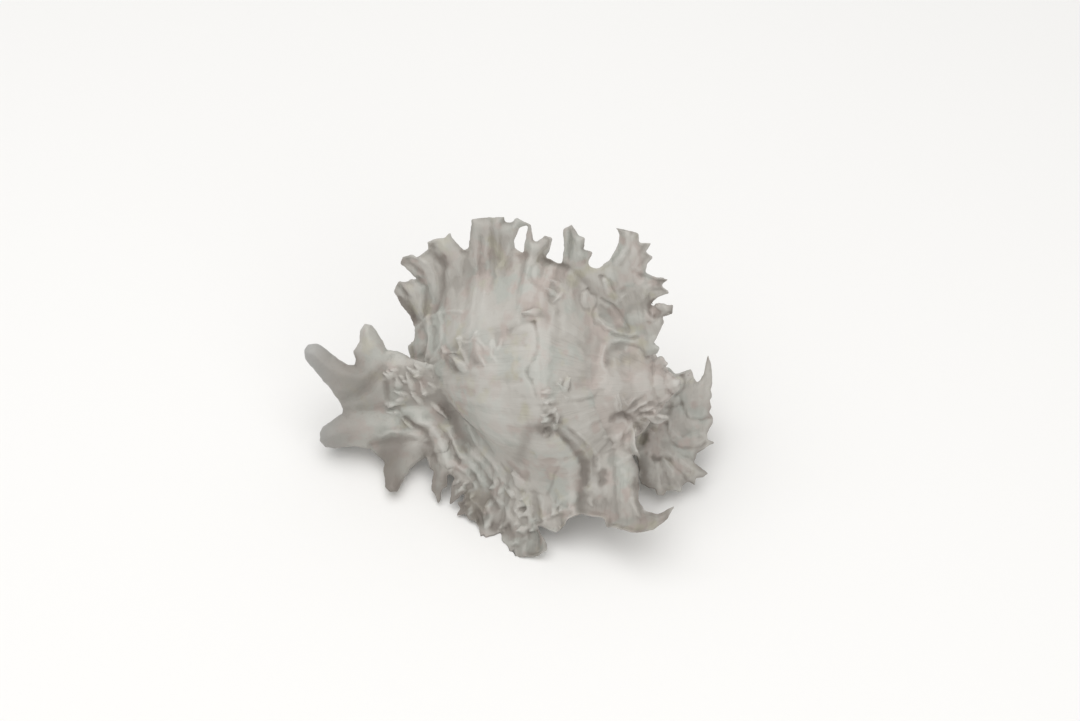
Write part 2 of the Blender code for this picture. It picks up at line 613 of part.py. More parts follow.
def fronds(solids):
    """Every flange and frond of the shell, from the lip back."""
    web(solids, 2 * VARIX_STEP, HIDDEN_WEB, seed=2)
    seed = 1
    for root, tip, widths, curl, teeth, nicks, bow in HIDDEN_FRONDS:
        frond(solids, 2 * VARIX_STEP, root, tip, widths, curl, teeth, nicks, bow, seed)
        seed += 1
    for back, root, tip, widths, curl, teeth, nicks, bow in SPIRE_FRONDS:
        frond(solids, back, root, tip, widths, curl, teeth, nicks, bow, seed)
        seed += 1
    # a stalk that carries the widest frond behind the spire, spread round the axis
    spread = growth_direction(240.0)
    tip, widths = (-14, 52, 14), (10.0, 12.0, 12.0)
    frond(solids, 240.0, 53.0, tip, widths, 30, 5, 4, 0.6, seed, spread, FRONTWARD)


# The canal finger that reaches the floor, as three places, root to tip, and half widths along it
FINGER = (((112, 18, 155), (126, 26, 177), (138, 29, 191)), (12.0, 9.0, 7.0, 5.5))


def canal(solids):
    """The flattened siphonal canal, with the ends of older canals and spines beside it."""
    upright = place(-15, 1.0, 0.0) - place(-15, 0.0, 0.0)
    down, out = [96, 120, 136, 151, 162, 172], [0, 2, 9, 18, 21, 22]
    across, deep = (14, 15, 16, 16, 12, 7), (11, 10, 8, 7, 6, 4)
    tube(solids, place([92] * 6, out, down), across, deep, upright)
    corners, widths = FINGER
    line = smooth_line([place(*corner) for corner in corners], 10)
    share = np.linspace(0, 1, 10)
    across = np.interp(share, (0, 0.35, 0.7, 0.93, 1), (*widths, widths[-1] * 0.5))
    tube(solids, line, across, np.minimum(across, 8.0), upright)


def lip_ring(solids):
    """The raised rim of the aperture."""
    rim = smooth_line(APERTURE, 40, closed=True)
    rim = np.concatenate([rim, rim[:1]])
    middle = rim[:-1].mean(0)
    rim = rim + (rim - middle) / np.linalg.norm(rim - middle, axis=1)[:, None] * 1.5
    centres = place(np.full(len(rim), -1.0), rim[:, 0], rim[:, 1])
    ones = np.ones(len(rim))
    tube(solids, centres, ones * 3.4, ones * 3.4, growth_direction(0.0), 8)


def hollow():
    """What is cut out: the whorl's inside, wound back from the aperture."""
    cutter = Solids()
    loop = smooth_line(APERTURE, 13, closed=True)
    rings = []
    for back in np.arange(-20.0, 420.0, 20.0):
        ring = loop * whorl_scale(max(back, 0.0))
        rings.append(place(np.full(len(ring), back), ring[:, 0], ring[:, 1]))
    cutter.add_rings(rings)
    return cutter


def mesh_object(name, solids):
    """A Blender object of the gathered solids, its faces pointing out."""
    mesh = bpy.data.meshes.new(name)
    mesh.from_pydata((np.concatenate(solids.points) * MM).tolist(), [], solids.faces)
    shape = bmesh.new()
    shape.from_mesh(mesh)
    bmesh.ops.recalc_face_normals(shape, faces=shape.faces)
    shape.to_mesh(mesh)
    shape.free()
    item = bpy.data.objects.new(name, mesh)
    bpy.context.scene.collection.objects.link(item)
    return item


def cut(item, cutter):
    """Takes a helper solid out of an object."""
    cutter.hide_render = True
    cutter.display_type = "WIRE"
    step = item.modifiers.new("cut_" + cutter.name, "BOOLEAN")
    step.operation = "DIFFERENCE"
    step.object = cutter


def slit():
    """What is cut out: the narrow open groove along the canal, on the aperture's side."""
    cutter = Solids()
    line = place((0, 0, 92, 92, 92), (20, 12, 9, 18, 21), (118, 129, 138, 152, 165))
    line = line + growth_direction(0.0) * np.array((2.0, 8.0, 10.5, 10.5, 9.0))[:, None]
    side = place(0, 1.0, 0.0) - place(0, 0.0, 0.0)
    tube(cutter, smooth_line(line, 9), np.full(9, 1.6), np.interp(range(9), (0, 8), (9, 5)), side, 8)
    return cutter


def below_floor():
    """What is cut off: the worn ends of the fronds and spines, under the floor."""
    cutter = Solids()
    corners = ((-300, -300), (300, -300), (300, 300), (-300, 300))
    cutter.add_rings([[(x, y, z) for x, y in corners] for z in (-60.0, 0.0)])
    return cutter


def evaluated_mesh(item):
    """A copy of the object's mesh as its modifiers leave it."""
    bpy.context.view_layer.update()
    return bpy.data.meshes.new_from_object(item.evaluated_get(bpy.context.evaluated_depsgraph_get()))


def keep_largest_body(mesh):
    """Drops specks that the fusing left apart from the shell."""
    shape = bmesh.new()
    shape.from_mesh(mesh)
    unseen = set(shape.verts)
    bodies = []
    while unseen:
        body, edge = set(), [next(iter(unseen))]
        while edge:
            vert = edge.pop()
            if vert in body:
                continue
            body.add(vert)
            edge += [link.other_vert(vert) for link in vert.link_edges]
        unseen -= body
        bodies.append(body)
    bodies.sort(key=len)
    print("bodies", [len(body) for body in bodies])
    bmesh.ops.delete(shape, geom=[vert for body in bodies[:-1] for vert in body], context="VERTS")
    shape.to_mesh(mesh)
    shape.free()


def main():
    for item in list(bpy.data.objects):
        bpy.data.objects.remove(item)
    solids = Solids()
    whorls(solids)
    ridges(solids)
    fronds(solids)
    traced_forms(solids)
    canal(solids)
    lip_ring(solids)
    loose = mesh_object("loose", solids)
    fuse = loose.modifiers.new("fuse", "REMESH")
    fuse.mode = "VOXEL"
    fuse.voxel_size = VOXEL * MM
    loose.data = evaluated_mesh(loose)
    loose.modifiers.clear()
    keep_largest_body(loose.data)
    thin = loose.modifiers.new("thin", "DECIMATE")
    thin.ratio = MOST_TRIANGLES / (2 * len(loose.data.polygons))
    thin.use_collapse_triangulate = True
    mesh = evaluated_mesh(loose)
    mesh.name = "murex_shell"
    bpy.data.objects.remove(loose)
    shell = bpy.data.objects.new("murex_shell", mesh)
    bpy.context.scene.collection.objects.link(shell)
    cutters = [mesh_object("hollow", hollow()), mesh_object("slit", slit())]
    cutters.append(mesh_object("below_floor", below_floor()))
    for cutter in cutters:
        cut(shell, cutter)
    # the middle of its outside in plan becomes the origin
    corners = np.array([vert.co for vert in evaluated_mesh(shell).vertices])
    middle = (corners.min(0) + corners.max(0)) / 2
    shift = Matrix.Translation((-middle[0], -middle[1], 0.0))
    for item in [shell, *cutters]:
        item.data.transform(shift)
    print("origin moved by", np.round(middle / MM, 3))
    chalky = bpy.data.materials.new("chalky_shell")
    chalky.use_nodes = True
    surface = chalky.node_tree.nodes["Principled BSDF"]
    surface.inputs["Base Color"].default_value = (0.42, 0.39, 0.36, 1.0)
    surface.inputs["Roughness"].default_value = 0.75
    shell.data.materials.clear()
    shell.data.materials.append(chalky)


main()
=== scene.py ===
# A large ramose murex shell, dressed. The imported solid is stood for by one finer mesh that
# grows from the same spiral, with its frills, scales, growth lines and two finishes.
# Sizes in the dictionaries are millimetres and degrees. Blender's own units are metres.

import math
import time

import bmesh
import bpy
import numpy as np
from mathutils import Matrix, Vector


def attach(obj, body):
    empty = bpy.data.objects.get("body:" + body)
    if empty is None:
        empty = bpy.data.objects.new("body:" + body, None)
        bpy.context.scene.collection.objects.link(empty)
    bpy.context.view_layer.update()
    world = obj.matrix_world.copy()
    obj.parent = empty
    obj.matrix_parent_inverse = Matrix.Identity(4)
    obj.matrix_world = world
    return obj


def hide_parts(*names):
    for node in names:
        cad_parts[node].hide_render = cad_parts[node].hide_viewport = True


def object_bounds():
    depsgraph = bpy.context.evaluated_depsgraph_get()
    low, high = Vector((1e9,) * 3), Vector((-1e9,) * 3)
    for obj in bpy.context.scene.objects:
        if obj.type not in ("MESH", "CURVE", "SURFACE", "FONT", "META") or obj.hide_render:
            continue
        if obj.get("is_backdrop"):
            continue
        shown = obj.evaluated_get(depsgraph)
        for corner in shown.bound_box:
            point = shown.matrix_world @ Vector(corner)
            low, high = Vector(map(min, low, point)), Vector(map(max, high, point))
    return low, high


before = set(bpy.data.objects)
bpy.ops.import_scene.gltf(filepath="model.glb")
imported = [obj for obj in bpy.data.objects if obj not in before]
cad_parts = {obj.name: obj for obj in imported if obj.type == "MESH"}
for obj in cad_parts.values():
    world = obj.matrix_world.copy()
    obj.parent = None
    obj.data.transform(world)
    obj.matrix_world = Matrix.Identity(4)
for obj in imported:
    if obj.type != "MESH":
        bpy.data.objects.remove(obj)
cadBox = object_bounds()
mm = 0.001
clock = time.time()


def stage(words):
    print(f"[{time.time() - clock:5.1f} s] {words}")


# How the shell lies, and the spiral that everything follows
lie = {
    "apex": (86.906, -7.195, 68.0),
    "pitch": 15.4,  # the apex end is raised
    "yaw": 16.0,  # and turned to the front
    "lipLean": -12.9,  # the lip leans to the back
}
# The photograph looks 45 degrees down with a long lens, its centre off the apex
view = {
    "elevation": 45.0,
    "distance": 1300.0,
    "lens": 86.7,
    "sensor": 36.0,
    "right": -71.0,
    "up": 12.25,
    "middle": (540.0, 360.5),  # of the photograph, in its pixels
    "mmPerPixel": 0.4998,  # at the distance of the centre
}
coil = {
    "ratio": 1.75,  # each whorl against the one before
    "whorls": 5.6,
    "girthRadius": 58.0,  # at the widest part of the lip
    "varixStep": 120.0,  # three ribs to a whorl
    "varixRise": 6.0,
    "varixWidths": (15.0, 4.5),  # degrees on the older side of a rib and on the younger
    "lowVarix": 120.0,  # swells less, because the traced lower rib stands on it
    "lowVarixShare": 0.25,
    "nodeRise": 3.0,  # the knob midway between two ribs
    "nodeDown": 60.0,
    "nodeWidth": 13.0,
    "foldRise": 0.9,
    "foldWidths": (26.0, 6.0),
    "foldRoots": (50.0, 61.0, 74.0, 87.0, 100.0, 113.0, 126.0, 138.0),
    # outline at the lip, as radius and distance below the apex
    "outline": (
        (27.0, 36.5), (37.0, 40.0), (47.0, 46.5), (55.0, 54.0), (60.5, 61.5), (60.5, 69.0),
        (58.5, 79.0), (55.0, 94.0), (47.0, 109.0), (36.0, 123.0), (25.0, 135.0), (17.0, 146.0),
    ),
    "outlineSteps": 120,
    "backStep": 2.0,
}

pitch, yaw = math.radians(lie["pitch"]), math.radians(lie["yaw"])
toApex = np.array((math.cos(pitch) * math.cos(yaw), -math.cos(pitch) * math.sin(yaw), math.sin(pitch)))
upward = np.array((0.0, 0.0, 1.0)) - toApex * toApex[2]
upward = upward / np.linalg.norm(upward)
frontward = np.cross(toApex, upward)
apex = np.array(lie["apex"])

tilt = math.radians(view["elevation"])
toCamera = np.array((0.0, -math.cos(tilt), math.sin(tilt)))
rightHand = np.array((1.0, 0.0, 0.0))
overhead = np.array((0.0, math.sin(tilt), math.cos(tilt)))
eye = apex + rightHand * view["right"] + overhead * view["up"] + toCamera * view["distance"]


# A place on the shell is (back, radius, down): degrees before the lip, distance from the
# coiling axis, distance below the apex
def place(back, radius, down):
    turn = np.radians(lie["lipLean"] + np.asarray(back, float))[..., None]
    outward = np.cos(turn) * upward + np.sin(turn) * frontward
    radius, down = np.asarray(radius, float)[..., None], np.asarray(down, float)[..., None]
    return outward * radius - down * toApex + apex


def outwardAt(back):
    return place(back, 1.0, 0.0) - place(back, 0.0, 0.0)


def whorlScale(back):
    return coil["ratio"] ** (-np.asarray(back, float) / 360.0)


def growthWay(back):
    turn = math.radians(lie["lipLean"] + back)
    return math.sin(turn) * upward - math.cos(turn) * frontward


def unit(vectors):
    return vectors / np.maximum(np.linalg.norm(vectors, axis=-1, keepdims=True), 1e-9)


# 1 in the middle, and fading to nothing over its width
def hump(off, width):
    return np.exp(-((off / width) ** 2))


def smoothRise(share):
    return share * share * (3 - 2 * share)


# Evenly spaced points along a smooth curve through a few
def smoothLine(points, count, closed=False):
    points = np.array(points, float)
    n = len(points)
    if closed:
        around = np.concatenate([points[-1:], points, points[:2]])
    else:
        around = np.concatenate([2 * points[:1] - points[1:2], points, 2 * points[-1:] - points[-2:-1]])
    s = np.linspace(0, 1, 12, endpoint=False)[:, None]  # the steps from one point to the next
    dense = []
    for i in range(n if closed else n - 1):
        a, b, c, d = around[i : i + 4]
        square, cube = 2 * a - 5 * b + 4 * c - d, 3 * b - a - 3 * c + d
        dense.append(0.5 * (2 * b + (c - a) * s + square * s**2 + cube * s**3))
    dense.append(points[:1] if closed else points[-1:])
    dense = np.concatenate(dense)
    length = np.concatenate([[0], np.cumsum(np.linalg.norm(np.diff(dense, axis=0), axis=1))])
    wanted = np.linspace(0, length[-1], count, endpoint=not closed)
    return np.stack([np.interp(wanted, length, dense[:, i]) for i in range(dense.shape[1])], axis=1)


outlineLine = smoothLine(coil["outline"], coil["outlineSteps"])


def outlineRadius(down):
    return np.interp(down, outlineLine[:, 1], outlineLine[:, 0])


# Closed meshes are gathered and then fused
def newGather():
    return {"points": [], "quads": [], "tris": [], "count": 0}


def addPart(into, points, quads, tris=None):
    into["points"].append(np.asarray(points, float))
    into["quads"].append(np.asarray(quads, int) + into["count"])
    if tris is not None:
        into["tris"].append(np.asarray(tris, int) + into["count"])
    into["count"] += len(points)


def addRings(into, rings):
    rings = np.asarray(rings, float)
    n, m, _ = rings.shape
    i, j = np.meshgrid(np.arange(n - 1), np.arange(m), indexing="ij")
    k = (j + 1) % m
    quads = np.stack([i * m + j, i * m + k, (i + 1) * m + k, (i + 1) * m + j], -1).reshape(-1, 4)
    j = np.arange(m)
    k = (j + 1) % m
    ends = [np.stack([np.full(m, n * m), k, j], -1)]
    ends.append(np.stack([np.full(m, n * m + 1), (n - 1) * m + j, (n - 1) * m + k], -1))
    points = np.concatenate([rings.reshape(-1, 3), [rings[0].mean(0)], [rings[-1].mean(0)]])
    addPart(into, points, quads, np.concatenate(ends))


# A closed leaf between two grids of points
def addSheet(into, front, behind):
    n, m, _ = front.shape
    i, j = np.meshgrid(np.arange(n - 1), np.arange(m - 1), indexing="ij")
    a, b, c, d = i * m + j, i * m + j + 1, (i + 1) * m + j + 1, (i + 1) * m + j
    top = np.stack([a, b, c, d], -1).reshape(-1, 4)
    rim = [(0, j) for j in range(m)] + [(i, m - 1) for i in range(1, n)]
    rim += [(n - 1, j) for j in range(m - 2, -1, -1)] + [(i, 0) for i in range(n - 2, 0, -1)]
    at = np.array([i * m + j for i, j in rim])
    after = np.roll(at, -1)
    side = n * m
    edge = np.stack([after, at, side + at, side + after], -1)
    quads = np.concatenate([top, top[:, ::-1] + side, edge])
    addPart(into, np.concatenate([front.reshape(-1, 3), behind.reshape(-1, 3)]), quads)


def addTube(into, centres, across, deep, side, sides=20):
    centres = np.asarray(centres, float)
    along = unit(np.gradient(centres, axis=0))
    side = unit(np.asarray(side, float) - along * (along @ np.asarray(side, float))[:, None])
    other = np.cross(along, side)
    angle = np.linspace(0, 2 * math.pi, sides, endpoint=False)
    ring = np.cos(angle)[None, :, None] * side[:, None] * np.asarray(across)[:, None, None]
    ring = ring + np.sin(angle)[None, :, None] * other[:, None] * np.asarray(deep)[:, None, None]
    addRings(into, centres[:, None] + ring)


# Smooth noise over points in any number of directions, from -1 to 1
def noise(points, seed=0):
    points = np.asarray(points, float)
    cell = np.floor(points).astype(np.int64)
    share = points - cell
    share = smoothRise(share)
    total = np.zeros(points.shape[0])
    dims = points.shape[1]
    primes = (73856093, 19349663, 83492791)
    for corner in range(2**dims):
        bits = [(corner >> d) & 1 for d in range(dims)]
        key = np.full(points.shape[0], seed * 2654435761 + 97, np.int64)
        weight = np.ones(points.shape[0])
        for d, bit in enumerate(bits):
            key ^= (cell[:, d] + bit) * primes[d]
            weight *= share[:, d] if bit else 1 - share[:, d]
        key = (key ^ (key >> 13)) * 1274126177
        total += weight * (((key ^ (key >> 16)) & 0xFFFF) / 32767.5 - 1.0)
    return total


def fractal(points, octaves, seed=0):
    return sum(noise(points * 2.0**o, seed + o) * 0.5**o for o in range(octaves))


def varixSwell(back):
    nearest = np.round(np.asarray(back, float) / coil["varixStep"]) * coil["varixStep"]
    before = np.asarray(back, float) - nearest
    rise = hump(before, np.where(before > 0, *coil["varixWidths"]))
    rise = rise * np.where(nearest == coil["lowVarix"], coil["lowVarixShare"], 1.0)
    return rise - 0.2 * hump(before + 13.0, 6.0)  # with a shallow dip in front


def nodeSwell(back, down):
    half = coil["varixStep"] / 2
    off = half - np.abs((np.asarray(back, float) + half) % coil["varixStep"] - half)
    return hump(off, coil["nodeWidth"]) * hump(down - coil["nodeDown"], coil["nodeWidth"])


def foldSwell(back, down):
    before = (back + 30.0) % coil["varixStep"] - 30.0
    fade = hump(before, coil["foldWidths"][0 if before > 0 else 1])
    return fade * sum(hump(down - root, 4.0) for root in coil["foldRoots"])


def whorls(into):
    backs = np.arange(coil["whorls"] * 360.0, -coil["backStep"] / 2, -coil["backStep"])
    radius, down = outlineLine[:, 0], outlineLine[:, 1]
    nearSuture = np.clip((down - down[0]) / 8.0, 0, 1)
    rings = []
    for back in backs:
        scale = whorlScale(back)
        out = coil["varixRise"] * varixSwell(back) * (0.35 + 0.65 * nearSuture)
        out = out + coil["foldRise"] * foldSwell(back, down) + coil["nodeRise"] * nodeSwell(back, down)
        # the loop closes near the coiling axis
        loopRadius = np.concatenate([(radius + out) * scale, [0.6 * scale, 0.6 * scale]])
        loopDown = np.concatenate([down * scale, [down[-1] * scale, down[0] * scale * 0.72]])
        rings.append(place(np.full(len(loopDown), back), loopRadius, loopDown))
    addRings(into, rings)


# The callus that fills the seam between one whorl and the next
seam = {
    "across": 5.0,
    "deep": 2.8,
    "backs": (4.0, 1000.0),
    "backStep": 4.0,
    "taper": 12.0,  # degrees over which it begins
    "out": 0.6,
    "up": 0.4,
    "sides": 14,
}


def fillSeam(into):
    backs = np.arange(*seam["backs"], seam["backStep"])
    size = whorlScale(backs)
    fade = np.sqrt(np.clip((backs - backs[0]) / seam["taper"], 0.02, 1))
    top = outlineLine[0]
    centres = place(backs, (top[0] + seam["out"]) * size, (top[1] - seam["up"]) * size)
    addTube(into, centres, seam["across"] * size * fade, seam["deep"] * size * fade, toApex, seam["sides"])


# The way from the camera through pixels of the photograph, and back to pixels
def sight(pixels):
    pixels = np.atleast_2d(np.asarray(pixels, float))
    across = (pixels[:, :1] - view["middle"][0]) * view["mmPerPixel"]
    rise = (view["middle"][1] - pixels[:, 1:]) * view["mmPerPixel"]
    return rightHand * across + overhead * rise - toCamera * view["distance"]


def toPixels(points):
    rel = points - eye
    depth = -(rel @ toCamera)
    near = view["distance"] / depth / view["mmPerPixel"]
    middle = view["middle"]
    return np.stack([middle[0] + rel @ rightHand * near, middle[1] - rel @ overhead * near], -1), depth


# Where lines of sight meet the half plane at a turn about the coiling axis
def onTurn(pixels, turn):
    angle = np.radians(lie["lipLean"] + turn)[:, None]
    across = np.sin(angle) * upward - np.cos(angle) * frontward
    way = sight(pixels)
    share = ((apex - eye) * across).sum(1) / (way * across).sum(1)
    points = eye + way * share[:, None]
    rel = points - apex
    outward = np.cos(angle) * upward + np.sin(angle) * frontward
    return points, (rel * outward).sum(1), -(rel @ toApex)


# The radius of the outermost whorl there
def bodyRadius(turn, down):
    best = np.zeros(len(down))
    for k in range(4):
        scale = whorlScale(turn + 360.0 * k)
        at = down / scale
        onWhorl = (at > 36.0) & (at < 150.0)
        best = np.maximum(best, np.where(onWhorl, outlineRadius(at) * scale, 0.0))
    return best


# A rib leaves the whorl at its foot turn and eases over to its edge turn
def ribSurface(pixels, rib):
    few, many = sorted((rib["foot"], rib["edgeTurn"]))
    low, high = np.full(len(pixels), few - 0.5), np.full(len(pixels), many + 0.5)
    for _ in range(24):  # halvings of the range of turns
        turn = (low + high) / 2
        points, radius, down = onTurn(pixels, turn)
        gap = radius - bodyRadius(turn, down)
        sweep = (rib["foot"] - rib["edgeTurn"]) * np.interp(down, rib["sweepDown"], rib["sweepShare"])
        past = turn > rib["edgeTurn"] + sweep * np.clip(1 - gap / rib["ease"], 0, 1) ** 2
        high, low = np.where(past, turn, high), np.where(past, low, turn)
    return points, turn, radius, down, gap


# The root that each point's rib line springs from: lines run from their roots to their tips
def rootOf(down, high, rib):
    roots, shifts = np.array(rib["tips"], float).T
    fine = np.linspace(roots[0] - 14, roots[-1] + 14, 240)
    lean = np.interp(fine, roots, shifts)
    size = whorlScale(rib["edgeTurn"])
    levels = np.linspace(0, 1.4, 15)
    table = np.stack([np.interp(down, fine * size + lean * level, fine) for level in levels])
    at = np.clip(high, 0, 1.39) * 10  # ten levels to a reach
    row = at.astype(int)
    column = np.arange(len(down))
    return table[row, column] * (1 - at + row) + table[row + 1, column] * (at - row)


def insideLoop(pixels, loop):
    x, y = pixels.T
    inside = np.zeros(len(x), bool)
    for (ax, ay), (bx, by) in zip(loop, np.roll(loop, -1, axis=0)):
        crosses = (ay > y) != (by > y)
        inside ^= crosses & (x < (bx - ax) * (y - ay) / (by - ay + 1e-12) + ax)
    return inside


def nearestOn(pixels, line):
    best, spot = np.full(len(pixels), 1e9), pixels.copy()
    for a, b in zip(line[:-1], line[1:]):
        way = b - a
        share = np.clip(((pixels - a) @ way) / max(way @ way, 1e-9), 0, 1)
        at = a + share[:, None] * way
        gap = np.linalg.norm(pixels - at, axis=1)
        closer = gap < best
        best = np.where(closer, gap, best)
        spot[closer] = at[closer]
    return best, spot


# A traced line made a little ragged between its corners
def raggedLine(corners, seed, ragged=0.45):
    corners = np.array(corners, float)
    line = []
    for a, b in zip(corners[:-1], corners[1:]):
        n = max(1, int(np.linalg.norm(b - a) / 1.5))
        share = np.linspace(0, 1, n, endpoint=False)[:, None]
        line.append(a + (b - a) * share)
    line = np.concatenate([*line, corners[-1:]])
    along = np.arange(len(line))[:, None] * 0.6
    return line + ragged * np.stack([noise(along + 9.1, seed), noise(along + 3.7, seed + 50)], -1)


# A grid of square cells that fills a traced loop, its border drawn onto the loop
cellSize = 1.0  # pixels


def fillLoop(edge, inner, holes=()):
    loop = np.concatenate([edge, np.array(inner, float)])
    low, high = loop.min(0) - cellSize, loop.max(0) + cellSize
    x, y = np.arange(low[0], high[0], cellSize), np.arange(low[1], high[1], cellSize)
    i, j = np.meshgrid(np.arange(len(x) - 1), np.arange(len(y) - 1), indexing="ij")
    middles = np.stack([x[i].ravel(), y[j].ravel()], -1) + cellSize / 2
    keep = insideLoop(middles, loop)
    for hole in holes:
        keep &= ~insideLoop(middles, hole)
    i, j = i.ravel()[keep], j.ravel()[keep]
    wide = len(y)
    quads = np.stack([i * wide + j, (i + 1) * wide + j, (i + 1) * wide + j + 1, i * wide + j + 1], -1)
    used, quads = np.unique(quads, return_inverse=True)
    quads = quads.reshape(-1, 4)
    pixels = np.stack([x[used // wide], y[used % wide]], -1)
    sides = np.concatenate([quads[:, [k, (k + 1) % 4]] for k in range(4)])
    pair = np.sort(sides, 1)
    code = pair[:, 0] * len(used) + pair[:, 1]
    _, where, times = np.unique(code, return_index=True, return_counts=True)
    border = sides[where[times == 1]]  # a side of one cell only
    rim = np.unique(border)
    closed = np.concatenate([loop, loop[:1]])
    gap, spot = nearestOn(pixels[rim], closed)
    for hole in holes:
        holeGap, holeSpot = nearestOn(pixels[rim], np.concatenate([hole, hole[:1]]))
        spot = np.where((holeGap < gap)[:, None], holeSpot, spot)
        gap = np.minimum(gap, holeGap)
    pixels[rim] = spot
    return pixels, quads, border


def gridNormals(points, quads):
    a, b, c, d = (points[quads[:, k]] for k in range(4))
    face = np.cross(c - a, d - b)
    total = np.zeros_like(points)
    for k in range(4):
        np.add.at(total, quads[:, k], face)
    total = unit(total)
    return total * np.sign(total @ toCamera)[:, None]


# Two skins over the same cells, joined round the border
def addSkins(into, front, behind, quads, border):
    n = len(front)
    rim = np.stack([border[:, 1], border[:, 0], border[:, 0] + n, border[:, 1] + n], -1)
    addPart(into, np.concatenate([front, behind]), np.concatenate([quads, quads[:, ::-1] + n, rim]))


# mm from the traced edge, holes too
def toFreeEdge(pixels, edge, holes=()):
    gap = nearestOn(pixels, edge)[0]
    for hole in holes:
        gap = np.minimum(gap, nearestOn(pixels, np.concatenate([hole, hole[:1]]))[0])
    return gap * view["mmPerPixel"]


ribLook = {"thickness": 2.6, "edgeThickness": 1.2, "thinOver": 5.0, "filletReach": 14.0}


def addRib(into, rib, seed):
    edge = raggedLine(rib["edge"], seed)
    holes = [raggedLine((*hole, hole[0]), seed + 7, 0.25)[:-1] for hole in rib["holes"]]
    pixels, quads, border = fillLoop(edge, rib["inner"], holes)
    points, turn, radius, down, gap = ribSurface(pixels, rib)
    high = gap / rib["reach"]
    root = rootOf(down, high, rib)
    free = toFreeEdge(pixels, edge, holes)
    grow = np.clip(high, 0, 1.3)
    # fine ribs from the roots to the tips, growth steps across them, furrows to the notches
    warp = noise(np.stack([root / 7.0, high * 2.0], -1), seed)
    fineRibs = np.stack([(root + 1.2 * warp) / rib["ribSpacing"], high * 0.8], -1)
    rise = rib["ribRise"] * fractal(fineRibs, 3, seed + 3)
    rise = rise * (0.35 + grow)
    steps = (gap / rib["stepLength"] + 0.7 * warp) % 1.0
    rise += rib["stepRise"] * (steps - 0.5) * np.clip(grow * 3, 0, 1)
    for spot, depth, wide in rib["valleys"]:
        _, _, _, atDown, atGap = ribSurface(np.array([spot], float), rib)
        atHigh = atGap[0] / rib["reach"]
        atRoot = rootOf(atDown, np.array([atHigh]), rib)[0]
        deepens = np.clip(high / max(atHigh, 0.1), 0, 1) ** 1.3
        rise -= depth * hump(root - atRoot, wide) * deepens
    rise *= np.clip(free / 2.5, 0.15, 1)
    thinnest = ribLook["edgeThickness"]
    thin = thinnest + (ribLook["thickness"] - thinnest) * np.clip(free / ribLook["thinOver"], 0, 1)
    curl = rib["curl"] * np.clip(1 - free / rib["curlReach"], 0, 1) ** 2
    front = points + gridNormals(points, quads) * rise[:, None] - toCamera * curl[:, None]
    fillet = rib["filletTurn"] * np.clip(1 - gap / ribLook["filletReach"], 0, 1) ** 2
    heel = np.where(rib["edgeTurn"] < rib["foot"], rib["edgeTurn"], turn + fillet)
    back = place(heel, radius, down) - place(turn, radius, down)
    addSkins(into, front, front + back - toCamera * thin[:, None] * 1.2, quads, border)


# Where lines of sight meet a palm's plane, bent up over the floor
def palmSurface(pixels, palm):
    way = sight(pixels)
    share = ((palm["through"] - eye) @ palm["normal"]) / (way @ palm["normal"])
    height = eye[2] + way[:, 2] * share
    lifted = palm["lowest"] + 3.0 * np.log1p(np.exp((height - palm["lowest"]) / 3.0))
    share = np.where(height > palm["lowest"] + 25.0, share, (lifted - eye[2]) / way[:, 2])
    return eye + way * share[:, None]


# Flat or swollen leaves that lie in one plane, also traced
def addPalm(into, palm, seed):
    edge = raggedLine(palm["edge"], seed)
    pixels, quads, border = fillLoop(edge, palm["inner"])
    points = palmSurface(pixels, palm)
    free = toFreeEdge(pixels, edge)
    swell = np.sqrt(np.clip(1 - (1 - np.clip(free / palm["round"], 0, 1)) ** 2, 0, 1))
    half = palm["edgeHalf"] + (palm["half"] - palm["edgeHalf"]) * swell
    rise = palm["rise"] * fractal(points / palm["lump"], 3, seed) * np.clip(free / 3.0, 0, 1)
    for line, depth, wide in palm["lines"]:
        gap = nearestOn(pixels, smoothLine(line, 40))[0] * view["mmPerPixel"]
        rise += depth * hump(gap, wide) * np.clip(free / 2.0, 0, 1)
    curl = palm["curl"] * np.clip(1 - free / 6.0, 0, 1) ** 2
    front = points + toCamera * (half + rise - curl)[:, None]
    addSkins(into, front, points - toCamera * (half + curl)[:, None], quads, border)


def leafNormals(leaf):
    return unit(np.cross(np.gradient(leaf, axis=1), np.gradient(leaf, axis=0)))


# A frond is a gutter that springs from a rib and ends in teeth
frondLook = {
    "thickness": 2.4,
    "edgeThickness": 1.2,
    "toothDepth": 0.15,  # of its length
    "spur": 0.24,  # how far its sides are nicked, of its half width
    "ribRise": 0.75,  # the ribs that run out into the teeth
    "stepRise": 0.35,  # the lapped growth steps across it
    "stepLength": 4.5,
    "stepsAlong": 44,
    "stepsAcross": 40,
}


